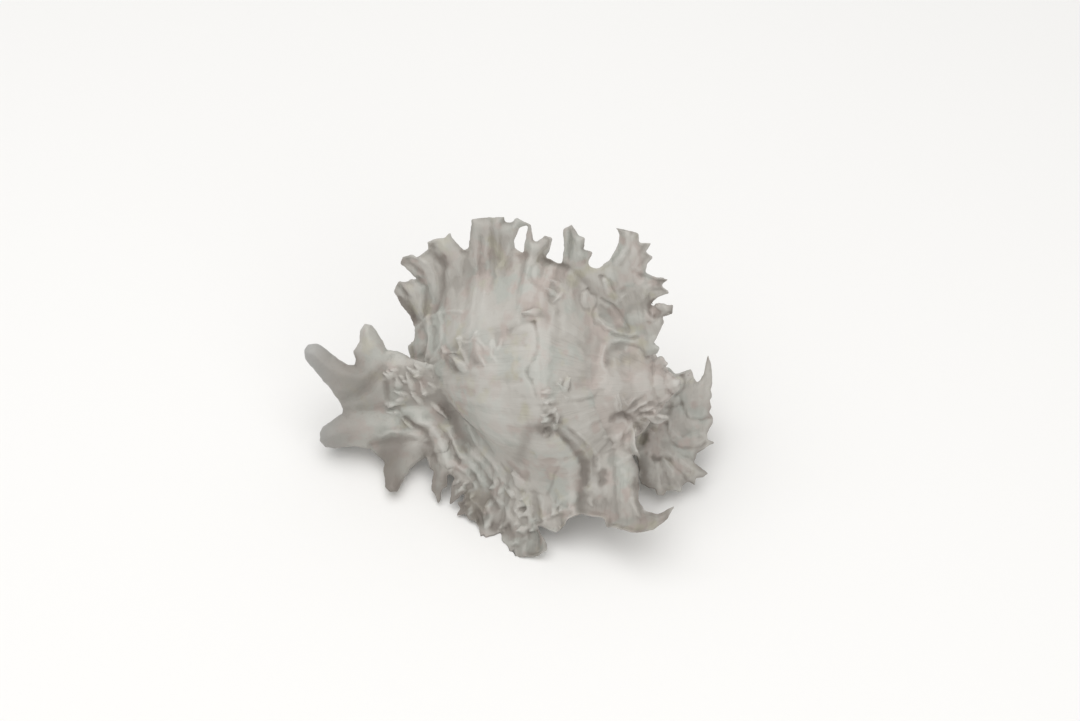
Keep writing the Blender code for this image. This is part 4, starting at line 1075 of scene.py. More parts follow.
# Ridges, grooves, stains and painted shade and light drawn over the side that the photograph
# shows, in its pixels: (half width, rise in mm, stain with painted shade and light, line). Above
# 0 it darkens and below 0 it pales: the shell's own stains and pale patches, painted shade in
# the grooves and shadows and painted light on the ridges
marks = (
    # the lip's frill
    (2.4, -1.2, 1.6, ((435, 254.5), (442.6, 264.7), (443.1, 273.9), (442.6, 292.3), (436.3, 311.8))),
    (4.0, -0.4, 1.6, ((443, 258), (447, 263.5))),
    (2.0, -1.6, 1.3, ((419, 278.5), (425.9, 288), (426, 304), (424, 317.5))),
    (1.6, -1.1, 1.1, ((399.5, 298), (409.9, 308.3), (415.6, 321))),
    (1.5, 0.9, -0.5, ((404, 277), (416, 284), (421, 298), (419, 312))),
    (1.5, 0.9, -0.5, ((411, 256), (424, 262), (433, 274), (434, 292), (431, 306))),
    (1.3, -0.8, 0.8, ((402, 262), (413, 266), (422, 273))),
    (1.3, -0.8, 0.8, ((429, 245), (437, 250), (444, 257))),
    (1.2, -0.7, 0.9, ((397, 286), (404, 290), (410, 298))),
    (1.6, 0.9, -0.5, ((415.6, 330), (423.6, 320), (435, 315), (444.3, 312), (462, 311))),
    (1.8, -0.9, 0.6, ((479.9, 238), (479.9, 260), (478, 275))),
    (2.0, 0.7, -0.2, ((473, 222), (472, 246))),
    (1.6, 0.6, -0.3, ((488, 219), (487, 243), (484, 262))),
    (1.4, -0.6, 0.3, ((500.5, 222), (500, 245), (499.4, 262.4))),
    (2.4, 1.0, -0.3, ((516.6, 220), (508.6, 251), (497.1, 269.3))),
    (1.8, -0.5, 0.3, ((490, 253), (493.7, 276))),
    (2.6, 1.0, -0.4, ((549.9, 238.3), (533.8, 250.9), (528, 269.3))),
    (1.8, -0.8, 0.5, ((540.7, 259), (529.3, 273.9), (540.7, 287.7), (549.9, 295.7))),
    (1.6, 0.7, -0.4, ((428, 243), (440, 240), (449, 234))),
    (3.0, -0.6, 0.4, ((462, 262), (464, 280), (456, 300))),
    (3.0, -0.9, 1.3, ((546, 262), (561, 264.6), (574.2, 271.7), (587.2, 284.7), (596.7, 294.1))),
    (2.4, 0.7, -0.3, ((567, 232), (567, 262))),
    (2.4, -0.9, 0.5, ((584, 246), (585, 262))),
    (4.0, 0.8, -0.3, ((622.6, 252), (612, 270), (604, 284))),
    (1.3, -0.8, 0.8, ((631, 232), (629, 250), (620, 266))),
    (1.3, -0.7, 0.7, ((623, 229), (622, 246), (612, 262))),
    (1.2, 0.6, -0.4, ((627, 230), (626, 248), (616, 264))),
    (1.2, -0.7, 0.8, ((645, 245), (638, 256), (630, 268))),
    (1.2, -0.7, 0.8, ((648, 258), (641, 264), (634, 272))),
    (1.2, -0.8, 0.9, ((664, 281), (655, 281), (647, 285))),
    (1.2, -0.8, 0.9, ((666, 291), (656, 290), (646, 296))),
    (1.5, -0.8, 1.4, ((600.2, 276.4), (601.6, 283.1))),
    (1.5, -0.9, 1.5, ((602, 276), (607.1, 278.6), (610.8, 285.8), (613.2, 292.9))),
    (1.6, 0.9, -0.4, ((604, 280), (606, 288), (608, 294))),
    (2.0, 1.0, -0.4, ((637.4, 268), (638.5, 269.5))),
    (1.8, -0.9, 1.5, ((639.2, 273), (641, 277))),
    (1.6, -0.9, 1.4, ((655, 300), (649, 305), (648.5, 312), (652, 318))),
    (3.0, 0.0, 0.8, ((670, 306), (671, 314))),
    (2.2, -0.8, 0.4, ((621, 292.5), (634.5, 285.8))),
    (1.6, 0.9, -0.4, ((615.6, 302.4), (625, 294), (644, 281))),
    (1.4, 0.8, -0.3, ((642.7, 295.3), (651, 282.3), (662.8, 278.8))),
    (1.4, -0.7, 0.4, ((647, 298), (655, 286), (664, 283.5))),
    (1.4, 0.8, -0.3, ((643.9, 298.6), (653.3, 291.6), (667.5, 290.6))),
    (2.2, 1.2, -0.5, ((651, 308.8), (671, 306.5))),
    (1.4, -0.9, 0.5, ((650, 313), (658, 317.5), (670, 314))),
    (1.4, -0.8, 0.7, ((647.5, 322.5), (649, 323))),
    (4.8, 1.5, -0.3, ((586, 293.5), (585.5, 301))),
    (1.2, -1.0, 1.3, ((588, 290), (582, 292), (580.4, 301), (583.5, 308), (588, 309.5))),
    (1.2, -1.0, 1.3, ((588, 290), (592.5, 295), (596.7, 297.6), (596.7, 304.7), (593.1, 311))),
    (1.3, -1.2, 0.5, ((601.4, 298.8), (610.8, 305.9), (620.3, 315.4), (629.7, 328.3))),
    (4.5, -1.4, 0.15, ((602, 309), (612, 321), (622, 329))),
    (1.5, -0.9, 0.5, ((593.1, 314), (599, 324.8), (610.8, 333), (625, 337.8), (638, 337.8))),
    (1.3, 0.8, -0.3, ((600, 320), (611, 329), (625, 334.4), (636, 334))),
    (1.4, -0.8, 0.6, ((602, 316), (606, 318.5))),
    (1.4, -0.8, 0.7, ((628, 329.5), (629, 330.5))),
    (2.8, -0.8, 0.5, ((552, 299), (558, 306), (560, 313))),
    (2.6, -0.6, 0.4, ((558, 313), (559, 333))),
    (2.0, 0.7, -0.3, ((573, 281), (572, 300), (574, 316))),
    (2.2, -1.0, 0.5, ((508.6, 331.3), (516, 326), (523.5, 323.3), (532.7, 322.1))),
    (1.2, 1.1, -0.4, ((443, 347), (448, 352), (459, 352), (459.5, 338))),
    (1.2, 1.1, -0.4, ((459.5, 338), (464, 342), (472, 341), (475.6, 332.6))),
    (1.4, 1.1, -0.4, ((459.5, 338), (462, 350), (468, 366))),
    (1.4, 1.1, -0.4, ((475.6, 332.6), (476.5, 346), (484, 364))),
    (1.2, 1.0, -0.5, ((478, 340), (486, 349), (492, 342), (496, 350), (501.5, 340))),
    (1.2, 1.0, -0.5, ((492, 342), (491, 352), (496, 363))),
    (1.4, 1.0, -0.5, ((444, 348), (449, 360), (454, 370))),
    (2.4, -1.7, 1.1, ((421, 322), (425, 334), (425, 348), (422, 357))),
    (1.5, 1.3, -0.6, ((428, 316), (428, 345), (426, 366))),
    (1.5, 1.2, -0.6, ((440, 314), (441, 335), (438, 350), (432, 361))),
    (2.2, -0.9, 0.5, ((434, 328), (434, 350))),
    (3.4, 0.6, 2.0, ((448, 354), (451, 361), (456, 369))),
    (3.6, 0.8, 1.8, ((466, 346), (469, 354), (475, 363))),
    (2.6, 0.8, 1.5, ((473, 340), (475, 354), (479, 362))),
    (7.0, 0.0, 0.7, ((446, 364), (462, 372), (480, 372))),
    (2.6, 0.2, 1.1, ((483, 352), (487, 359))),
    # the canal's neck and the folds below it
    (4.4, 3.6, -1.3, ((420, 420.4), (430.5, 425), (440, 437.6), (445.6, 454.8), (449, 466))),
    (2.6, -1.6, 1.8, ((405.3, 419.2), (414.4, 425), (424.9, 431.7), (430, 443), (436, 460))),
    (1.8, -1.2, 1.3, ((438, 426), (449, 438), (454, 452), (459, 464))),
    (2.6, 1.6, -0.8, ((449.9, 430), (455, 443), (461, 457))),
    (5.5, -1.4, 2.0, ((444.3, 407.7), (453.5, 420.4), (460.4, 434.1), (469.6, 446.8))),
    (1.6, 0.8, -0.6, ((453.5, 402), (467.3, 425), (477.6, 447), (492.5, 463), (503, 481))),
    (1.4, -0.6, 0.7, ((470, 438), (486, 460), (500, 483))),
    (1.2, 0.8, -0.5, ((466, 444), (482, 463), (496, 485))),
    (1.3, -0.7, 0.8, ((461, 446), (477, 464), (492, 486))),
    (1.2, 0.8, -0.5, ((459, 452), (472, 466), (487, 486))),
    (1.3, -0.7, 0.8, ((455, 456), (468, 468), (482, 488))),
    (1.2, 0.8, -0.5, ((453, 461), (464, 471), (477, 488))),
    (9.0, 0.0, 0.5, ((462, 460), (480, 474), (494, 486))),
    (1.2, -0.5, 0.3, ((481, 431), (486, 444), (499.5, 461), (510, 478))),
    (1.2, -0.5, 0.3, ((466, 455), (480, 466), (492, 484))),
    (1.2, 0.5, -0.2, ((462, 462), (475, 472), (486, 490))),
    (1.6, 0.8, -0.4, ((380, 437), (392, 432), (410, 434), (424, 441))),
    (2.6, -1.4, 0.9, ((386, 384), (388, 398))),
    (1.5, -0.9, 0.6, ((399, 409), (402, 414))),
    (1.2, 0.9, -0.4, ((428, 362), (434, 366), (441, 361), (446, 352))),
    (1.1, 0.8, -0.4, ((414, 366), (424, 369), (432, 368), (433, 378))),
    (2.0, -0.9, 0.5, ((432, 372), (440, 382))),
    # the whorl
    (5.0, -0.5, 0.25, ((460.4, 389.4), (479.9, 390.5), (494.8, 383.6), (520, 378))),
    (1.8, -1.3, 0.9, ((533, 322), (537, 334), (537.5, 350),
    (531, 363), (526, 373), (532, 384), (536, 396))),
    (4.5, -0.7, 0.45, ((529.3, 371), (531, 380))),
    (1.2, -0.6, 0.3, ((539.6, 357.2), (541.9, 372.1), (541.9, 395))),
    (5.5, 1.3, -0.1, ((545, 334), (547, 356), (541, 370), (543, 386), (546, 402))),
    (3.5, 0.4, 0.9, ((526, 313), (536, 312), (547, 318))),
    (3.0, 0.6, 0.6, ((557, 393), (563, 388), (568, 380))),
    (8.0, -0.2, 0.7, ((542, 402), (549, 418), (544, 438))),
    (2.6, 1.0, 0.4, ((543, 410), (550, 414))),
    (2.4, 1.0, 0.5, ((546, 424), (541, 430))),
    (2.2, -1.0, 0.8, ((549, 428), (545, 433))),
    (7.5, -0.5, 1.5, ((529, 428), (523, 446), (519, 458))),
    (4.0, -1.4, 1.6, ((540, 428), (549, 434))),
    (8.0, 0.8, -0.5, ((540, 454), (537, 470), (533, 484))),
    (1.2, -0.7, 0.7, ((566.3, 459.3), (556, 471.3), (547.4, 493.7))),
    (5.0, 1.2, -0.4, ((571.5, 466), (571, 480), (571.5, 497))),
    (5.0, -1.2, 1.3, ((585.2, 464.4), (581, 482), (580, 507.5))),
    (1.6, -0.5, 0.7, ((519.8, 490.2), (532, 492), (543.9, 495.4))),
    (4.0, -0.9, 1.2, ((609, 362), (609, 355.3), (613, 349.4), (622.6, 345.8))),
    (2.4, 1.0, -0.3, ((603, 366), (603.5, 352), (609, 343), (622, 339.5), (636, 343))),
    (2.2, 0.9, -0.4, ((627.4, 349.4), (636.8, 353), (641.5, 358.9))),
    (1.4, -0.7, 0.4, ((630, 345.5), (641, 350), (647, 358))),
    (6.0, -0.6, 0.35, ((623, 361), (624, 370))),
    (2.2, -0.6, 0.35, ((609.7, 363.6), (610.8, 375.4), (609, 386))),
    (4.0, 0.5, -0.3, ((568, 396), (584, 393), (600, 385.5))),
    (1.6, -0.5, 0.7, ((574.2, 402), (587.2, 398.7), (602.6, 390.7))),
    (2.0, -1.0, 0.6, ((567, 384), (571, 389))),
    (1.2, 1.0, -0.5, ((561.3, 380), (558.9, 390.8), (567.2, 399))),
    (5.5, -0.2, 1.3, ((553, 418), (566, 432), (579, 446), (588, 460), (592, 476))),
    (1.5, 0.9, -0.5, ((561.3, 427.4), (575.4, 441.5), (587.2, 455.7), (591.5, 468), (590.8, 480.5))),
    (1.4, 0.9, -0.4, ((579, 434.5), (590.8, 446.3), (597.9, 456.9), (599, 469.9))),
    (1.4, -0.7, 0.5, ((568, 429), (582, 440), (592.5, 452), (595.5, 470))),
    (2.4, -1.2, 1.4, ((557, 431), (571, 447), (582, 462), (585.5, 484))),
    (1.2, -0.4, 0.7, ((563.6, 438), (568.3, 441.5))),
    (4.0, -2.4, 1.0, ((601, 474), (603, 482))),
    (1.8, -0.8, 0.6, ((604, 471), (607, 476))),
    (1.2, -0.7, 0.4, ((603.8, 453.3), (615.6, 449.8))),
    (1.4, 0.6, -0.4, ((606, 437), (616, 438))),
    # soft darker and paler areas: painted shade over the lower parts and the canal's finger, painted
    # light over the middle of the whorl and parts of the frill, and soft patches of the shell's own
    # mauve and brown
    (14.0, 0.0, 2.4, ((389, 450), (390, 470), (391, 488))),
    (16.0, 0.0, 0.7, ((398, 384), (418, 396), (440, 402))),
    (16.0, 0.0, 0.6, ((362, 372), (378, 396))),
    (10.0, 0.0, 0.8, ((405, 446), (418, 452))),
    (16.0, 0.0, 0.5, ((505, 262), (525, 280), (548, 310))),
    (12.0, 0.0, 0.9, ((488, 232), (500, 240))),
    (7.0, 0.0, 0.8, ((618, 229), (628, 233))),
    (12.0, 0.0, -0.5, ((478, 290), (478, 318), (474, 340))),
    (26.0, 0.0, -0.8, ((495, 370), (495, 410), (493, 445))),
    (24.0, 0.0, -0.4, ((500, 290), (480, 330))),
    (22.0, 0.0, -1.0, ((630, 250), (600, 270))),
    (28.0, 0.0, 1.4, ((328, 360), (350, 400), (333, 436))),
    (10.0, 0.0, 0.6, ((406, 297), (414, 310))),
    (16.0, 0.0, 1.4, ((440, 480), (450, 500), (470, 500))),
    (20.0, 0.0, 1.3, ((488, 512), (515, 542))),
    (16.0, 0.0, 0.6, ((590, 505), (640, 500), (665, 510))),
    (14.0, 0.0, 0.4, ((670, 470), (690, 470))),
    # the older rib that ends beside the spire
    (11.0, 0.0, 1.3, ((622, 410), (636, 412), (650, 420))),
    (1.3, 1.2, -0.7, ((627, 414), (637, 407), (646.3, 403))),
    (1.3, 1.2, -0.7, ((629, 416), (644, 411), (656, 409.5))),
    (1.3, 1.2, -0.7, ((630, 418), (645, 417), (658, 416))),
    (1.3, 1.2, -0.7, ((631, 420), (645, 423), (656.5, 425))),
    (1.3, 1.2, -0.7, ((632, 422), (643, 428), (653, 433))),
    (1.2, 1.6, -0.5, ((615.5, 398), (617.9, 411.3))),
    (1.2, 1.6, -0.5, ((619, 396.7), (621.5, 410))),
    (1.2, -0.7, 0.4, ((627.4, 411), (636, 402), (645, 396.7))),
    (1.2, 0.8, -0.3, ((623, 397), (628, 405), (634, 399))),
    (3.0, -2.8, 1.2, ((613.2, 420.3), (620.3, 415.6), (632.1, 419.1), (643.9, 434.5), (642.7, 440.4))),
    (2.0, -1.4, 0.7, ((671, 404), (669, 411), (666.3, 420.3))),
    (1.6, -1.2, 0.5, ((651, 403.8), (662, 406.5), (673.4, 406.1), (681.7, 402.6))),
    (1.7, -1.2, 1.5, ((667.5, 391), (673, 394.5), (679.3, 392), (685.2, 381.3), (680.5, 373.1))),
    (3.4, 1.0, -0.6, ((676, 380), (677, 388))),
    (6.0, 0.9, -0.6, ((623, 425), (618, 435), (612, 444))),
    (1.2, -0.7, 0.35, ((627.5, 426.2), (621, 446.3))),
    (6.5, -0.3, 0.4, ((633, 433), (630, 445))),
    (2.0, 1.2, -0.3, ((617.9, 464), (628, 457), (636.8, 452.2), (646.3, 449.8))),
    (7.0, -0.8, 2.2, ((636, 459), (641, 469), (640, 482))),
    # the wide palm behind the spire
    (2.4, -1.6, 2.0, ((652.5, 457), (656, 459.5), (661, 458))),
    (1.6, -0.9, 1.6, ((667, 459), (670, 459.5))),
    (1.3, 1.1, -0.8, ((649, 453), (651, 461), (656, 467))),
    (1.3, 1.1, -0.8, ((662, 458), (666, 466), (672, 471))),
    (1.3, 1.0, -0.7, ((662, 452), (671, 455), (676, 462))),
    (1.3, -1.1, 0.9, ((666.3, 422.6), (669, 438), (677.4, 446), (688, 447.5), (697, 447), (705.3, 442.5))),
    (9.0, -0.8, 0.1, ((681, 433), (695, 431))),
    (1.3, -0.9, 0.9, ((680.5, 397), (683.5, 408), (687.5, 416), (696.3, 419.5), (709.8, 416.7))),
    (2.0, 0.9, -0.5, ((668, 420), (671, 430), (682, 438), (696, 434), (706, 436))),
    (1.4, 0.8, -0.2, ((657, 462), (658, 478), (661, 491))),
    (1.4, 0.8, -0.2, ((666, 463), (674, 478), (680, 489))),
    (1.4, 0.8, -0.2, ((674, 455), (688, 467), (702, 474))),
    (1.2, -0.8, 0.4, ((661, 463), (666, 478), (671, 490))),
    (1.2, -0.8, 0.4, ((670, 460), (682, 474), (692, 483))),
    (1.2, -0.7, 0.4, ((678, 451), (690, 459), (699, 464))),
    # the lower rib
    (2.4, -1.6, 0.8, ((521, 504), (523.5, 509))),
    (1.4, 1.0, -0.5, ((516, 505), (519, 500.5), (525, 501), (528, 507), (525, 513), (518, 513))),
    (3.6, -1.8, 0.8, ((493, 526), (500, 531), (505, 527))),
    (1.8, -1.2, 0.7, ((522, 536), (527, 534), (531, 529))),
    (1.6, -1.0, 0.6, ((511, 548), (520, 546), (526, 540))),
    (1.8, 1.2, -0.5, ((472, 500), (481, 508), (484, 520))),
    (2.2, 1.3, -0.5, ((487, 506), (491, 515), (489, 525))),
    (2.4, -1.6, 1.0, ((478, 512), (481, 520))),
    (2.2, -1.4, 1.0, ((508, 527), (513, 536))),
    (1.8, 1.1, -0.4, ((498, 535), (508, 543), (521, 545))),
    (1.8, 1.2, -0.4, ((512, 520), (520, 527), (531, 529))),
    (1.5, 0.9, -0.4, ((531, 516), (536, 534), (533, 548))),
    (1.6, -1.0, 0.6, ((526, 518), (530, 538))),
    (2.0, 1.2, -0.4, ((497, 500), (506, 507), (510, 517))),
    (2.0, -1.3, 0.8, ((491, 497), (498, 508))),
    (1.6, 0.9, -0.3, ((544, 519), (560, 512), (572, 509))),
    (1.2, -0.6, 0.3, ((540, 522), (556, 517), (570, 514))),
    (1.8, -0.6, 0.4, ((606, 505), (602, 490), (606, 470))),
    (2.4, 0.8, -0.3, ((622, 470), (628, 492), (640, 516))),
    (1.4, -0.6, 0.4, ((634, 480), (634, 500), (642, 516))),
)
drawing = {
    "rise": 0.62,
    "width": 1.15,
    "stainShadeAndLight": 0.43,
    # painted shade along the traced edges, over the frills' own darker rims
    "rim": 0.5,  # the dark line along the traced edges
    "rimWidth": 4.0,
    "wander": 0.9,  # pixels that a mark strays
    "uneven": 0.45,
}
# Small pointed scales, drawn the same way: (tip, base, half width, rise in mm)
scales = (
    ((405.8, 366.4), (421.5, 376.5), 4.0, 2.0), ((406.4, 372.5), (413.5, 391), 3.8, 2.0),
    ((396.5, 378), (399, 389), 4.4, 1.6), ((394, 391), (405, 395.5), 2.6, 1.6),
    ((384.6, 403.7), (405, 403.4), 2.6, 1.8), ((402.5, 418.5), (413.5, 429), 2.4, 2.2),
    ((450, 419), (430.5, 402), 3.4, 2.4), ((453, 355), (466, 372), 5.0, 2.6),
    ((414, 363), (424, 374), 3.2, 1.6), ((420, 380), (426, 397), 3.4, 1.6),
    ((386, 371), (398, 377), 3.0, 1.2), ((386, 412), (400, 414), 3.0, 1.2),
    ((428, 383), (440, 390), 3.2, 1.2), ((412, 395), (424, 405), 3.4, 1.4),
    ((522.5, 313.5), (541, 311.5), 4.6, 2.4), ((568, 377), (565, 391), 3.6, 2.2),
    ((557, 383.5), (568, 394), 3.2, 1.8), ((543, 403), (556, 399), 3.4, 1.6),
    ((541, 393), (553, 391), 3.2, 1.6), ((545, 415), (556, 408), 3.2, 1.6),
    ((541, 422), (553, 418), 3.0, 1.6), ((556, 425), (558, 412), 3.2, 1.6),
    ((549, 280), (562, 286), 4.0, 1.6), ((545, 288), (557, 295), 3.6, 1.6),
    ((554, 302), (563, 292), 3.2, 1.4), ((655, 407), (640, 411), 2.2, 1.2),
    ((514, 470.5), (523, 489), 5.5, 2.0), ((505, 487), (516, 497), 3.6, 1.6),
    ((652, 303), (668, 309), 4.0, 1.4), ((680, 380), (670, 386), 5.0, 1.4),
)
# Patches of scales too many to draw: (corners, number, direction, length, half width, rise)
patches = (
    (
        ((470, 486), (515, 484), (545, 520), (540, 550), (500, 545), (468, 510)),
        20, (-0.5, 0.85), 8.0, 3.6, 1.1,
    ),
    (((452, 478), (478, 484), (474, 512), (456, 502)), 10, (-0.7, 0.7), 8.0, 2.6, 1.0),
    (((384, 362), (432, 362), (436, 400), (410, 412), (386, 420)), 12, (-0.8, -0.4), 9.0, 2.8, 1.6),
    (((537, 398), (556, 398), (558, 440), (541, 440)), 6, (-0.5, -0.8), 8.0, 4.6, 0.9),
    (((548, 500), (600, 500), (600, 515), (560, 530)), 8, (0.1, 1.0), 10.0, 3.0, 0.8),
)


# Which points the photograph sees, and where they are in it
seenLimits = {
    "depth": 3.0,  # mm behind the nearest point that still counts as seen
    "cell": 1.6,  # pixels
    "facing": 0.05,
}


def seenPoints(points, normals):
    pixels, depth = toPixels(points)
    cell = np.floor(pixels / seenLimits["cell"]).astype(int)
    cell = cell[:, 0] * 4096 + cell[:, 1]  # one number for each cell
    names, which = np.unique(cell, return_inverse=True)
    nearest = np.full(len(names), 1e9)
    np.minimum.at(nearest, which, depth)
    facing = normals @ toCamera > seenLimits["facing"]
    at = np.nonzero((depth < nearest[which] + seenLimits["depth"]) & facing)[0]
    return at, pixels[at]


# Scales strewn over the patches, each turned a little and of its own size
def strewnScales():
    rows = []
    chance = np.random.default_rng(31)
    for corners, count, way, length, wide, high in patches:
        corners = np.array(corners, float)
        spots = chance.uniform(corners.min(0), corners.max(0), (count * 30, 2))
        kept = []
        for spot in spots[insideLoop(spots, corners)]:
            if len(kept) < count and all(np.linalg.norm(spot - k) > wide * 1.3 for k in kept):
                kept.append(spot)
        for spot in kept:
            turned = chance.normal(0, 0.35)
            ahead = np.array((way[0] - turned * way[1], way[1] + turned * way[0]))
            ahead = ahead * length * chance.uniform(0.4, 0.6)
            size = chance.uniform(0.8, 1.2)
            rise = high * chance.uniform(0.7, 1.2)
            rows.append((spot + ahead * size, spot - ahead * size, wide * size, rise))
    return rows


def drawScales(at, pixels, rise, stainShadeAndLight):
    for tip, base, wide, high in (*scales, *strewnScales()):
        tip, base = np.array(tip, float), np.array(base, float)
        axis = tip - base
        length = np.linalg.norm(axis)
        near = np.nonzero(np.linalg.norm(pixels - (tip + base) / 2, axis=1) < length)[0]
        rel = pixels[near] - base
        along = (rel @ axis) / (axis @ axis)
        across = (rel[:, 0] * axis[1] - rel[:, 1] * axis[0]) / length
        across = across / (wide * np.interp(along, (0, 0.35, 1), (0.6, 1, 0.1)))
        leaf = (along > 0) & (along < 1) & (np.abs(across) < 1)
        lift = np.where(leaf, (0.15 + 0.85 * along) * np.sqrt(np.clip(1 - across**2, 0, 1)), 0)
        here = at[near]
        rise[here] = np.where(leaf, np.maximum(rise[here], 0) + 1.3 * high * lift, rise[here])
        # painted shade in a ring round each scale, and painted light making each scale paler towards its
        # raised tip
        paintedScaleShade = 0.25 * hump(across, 1.6) * (along > 0) * (along < 1.25)
        stainShadeAndLight[here] += np.where(leaf, -0.6 * along, paintedScaleShade)


def drawMarks(points, normals):
    at, pixels = seenPoints(points, normals)
    rise, stainShadeAndLight = np.zeros(len(points)), np.zeros(len(points))
    # the lines wander a little, and swell and fade
    wander = [noise(pixels / 6.0, seed) + 0.5 * noise(pixels / 2.5, seed + 2) for seed in (61, 62)]
    drawnOn = pixels + drawing["wander"] * np.stack(wander, -1)
    strength = drawing["rise"] * (1 + drawing["uneven"] * noise(pixels / 9.0, 65))
    for wide, high, dark, line in marks:
        low, top = np.min(line, axis=0) - 3 * wide, np.max(line, axis=0) + 3 * wide
        near = np.nonzero(((drawnOn > low) & (drawnOn < top)).all(1))[0]
        gap = nearestOn(drawnOn[near], smoothLine(line, 6 * len(line)))[0]
        share = hump(gap / wide, drawing["width"])
        rise[at[near]] += high * share * strength[near]
        # the third column adds the shell's own stains, painted shade in grooves and shadows, and painted
        # light on ridges
        stainShadeAndLight[at[near]] += dark * share * drawing["stainShadeAndLight"]
    # painted shade along the traced edges of the frills and palm, together with their own darker rims
    for leaf in (lipRib, lowerRib, backPalm):
        gap = nearestOn(pixels, np.array(leaf["edge"], float))[0]
        rim = hump(gap, drawing["rimWidth"]) * (1 + 0.6 * noise(pixels / 7.0, 66))
        stainShadeAndLight[at] += drawing["rim"] * rim
    drawScales(at, pixels, rise, stainShadeAndLight)
    return rise, stainShadeAndLight


# Creases of the plain spiral that the photograph doesn't show are worn smooth, along lines in
# its pixels: (half width, line)
worn = {
    "times": 260,
    "lines": (
        (9.0, ((588, 270), (590, 300), (591, 345), (592, 380), (598, 402), (604, 424))),
        (8.0, ((632, 350), (633, 378), (637, 398))),
        (9.0, ((458, 413), (475, 434), (500, 452), (530, 467), (560, 483), (576, 476), (581, 460))),
    ),
}


def wearCreases(item):
    points, normals, edges = arrays(item.data)
    at, pixels = seenPoints(points, normals)
    weight = np.zeros(len(points))
    for wide, line in worn["lines"]:
        gap = nearestOn(pixels, smoothLine(line, 24))[0]
        weight[at] = np.maximum(weight[at], np.clip(1.7 - gap / wide, 0, 1))
    weight = np.clip(spread(weight, edges, 10) * 1.3, 0, 1)
    chosen = np.nonzero(weight > 0.02)[0]
    local = np.full(len(points), -1)
    local[chosen] = np.arange(len(chosen))
    inner = local[edges]
    inner = inner[(inner >= 0).all(1)]
    patch, share = points[chosen], weight[chosen, None] * 0.9
    for _ in range(worn["times"]):
        patch += share * (spread(patch, inner, 1, 0.0) - patch)
    points[chosen] = patch
    movePoints(item, points)


# Nothing passes the solid's box: near its sides and its top the surface is eased back
def keepInBox(points):
    low, top = np.array(cadBox) / mm
    margin = relief["edgeMargin"]
    for axis, sign, limit in [(k, 1, top[k]) for k in range(3)] + [(k, -1, low[k]) for k in range(2)]:
        edge = sign * limit - relief["boxGap"]
        past = (sign * points[:, axis] - (edge - margin)) / margin
        eased = edge - margin * np.exp(-np.clip(past, 0, None))
        points[:, axis] = np.where(past > 0, sign * eased, points[:, axis])


def displace(item):
    points, normals, edges = arrays(item.data)
    back, root, size, off, _, _ = shellPlace(points)
    onWhorl = hump(off, relief["whorlReach"])
    grown, across = alongGrowth(back), root * size
    wide, tall = relief["warpPatch"]
    warp = relief["warp"] * noise(np.stack([grown / wide, across / tall], -1), 3)
    growth = np.stack([(grown + warp) / relief["growthLength"], across / relief["growthWidth"]], -1)
    cords = np.cos(2 * math.pi * (root + 0.8 * warp) / relief["cordLength"])
    wide, tall = relief["cordPatch"]
    cordFade = 0.5 + 0.5 * noise(np.stack([grown / wide, root / tall], -1), 9)
    near = np.clip(varixSwell(back), 0, 1)
    rise = relief["growthRise"] * fractal(growth, 2, 5) * onWhorl
    rise += relief["cordRise"] * cords * cordFade * (0.35 + 0.65 * near) * onWhorl
    rise += relief["lumpRise"] * fractal(points / relief["lumpLength"], 3, 11) * (0.3 + 0.7 * onWhorl)
    rise += relief["grainRise"] * noise(points / relief["grainLength"], 17)
    rise += spread(drawMarks(points, normals)[0], edges, 1, 0.6)
    # the worn ends on the floor stay flat
    rise *= np.clip(points[:, 2] / relief["floorFade"], 0, 1)
    points = points + normals * rise[:, None]
    keepInBox(points)
    movePoints(item, points)


fuse = {"voxel": 0.55, "softenTimes": 1, "mostTriangles": 196000}


def cutOut(item):
    cutters = []
    for name, parts in (("hollow", hollow()), ("slit", slit()), ("below_floor", belowFloor())):
        cutter = meshObject(name, parts)
        outwardFaces(cutter)
        cutters.append(cutter)
        step = item.modifiers.new("cut_" + name, "BOOLEAN")
        step.operation = "DIFFERENCE"
        step.solver = "MANIFOLD"
        step.object = cutter
    applied(item)
    for cutter in cutters:
        bpy.data.objects.remove(cutter)


def buildShell():
    parts = newGather()
    for add in (whorls, fillSeam, ornament, canal, lipRing):
        add(parts)
    shell = meshObject("murex_surface", parts)
    stage(f"gathered {parts['count']} points")
    step = shell.modifiers.new("fuse", "REMESH")
    step.mode = "VOXEL"
    step.voxel_size = fuse["voxel"] * mm
    applied(shell)
    stage(f"fused into {len(shell.data.polygons)} faces")
    points, _, edges = arrays(shell.data)
    movePoints(shell, spread(points, edges, fuse["softenTimes"], 0.5))
    wearCreases(shell)
    stage("creases worn")
    displace(shell)
    stage("displaced")
    cutOut(shell)
    stage(f"cut, {len(shell.data.polygons)} faces")
    return shell


def keepLargest(item):
    mesh = item.data
    count = len(mesh.vertices)
    edges = arrays(mesh)[2]
    label = np.arange(count)
    while True:  # the lowest number spreads over each body
        low = np.minimum(label[edges[:, 0]], label[edges[:, 1]])
        new = label.copy()
        np.minimum.at(new, edges[:, 0], low)
        np.minimum.at(new, edges[:, 1], low)
        new = new[new]
        if (new == label).all():
            break
        label = new
    names, sizes = np.unique(label, return_counts=True)
    biggest = names[sizes.argmax()]
    shape = bmesh.new()
    shape.from_mesh(mesh)
    shape.verts.ensure_lookup_table()
    bmesh.ops.delete(shape, geom=[shape.verts[i] for i in np.nonzero(label != biggest)[0]], context="VERTS")
    shape.to_mesh(mesh)
    shape.free()


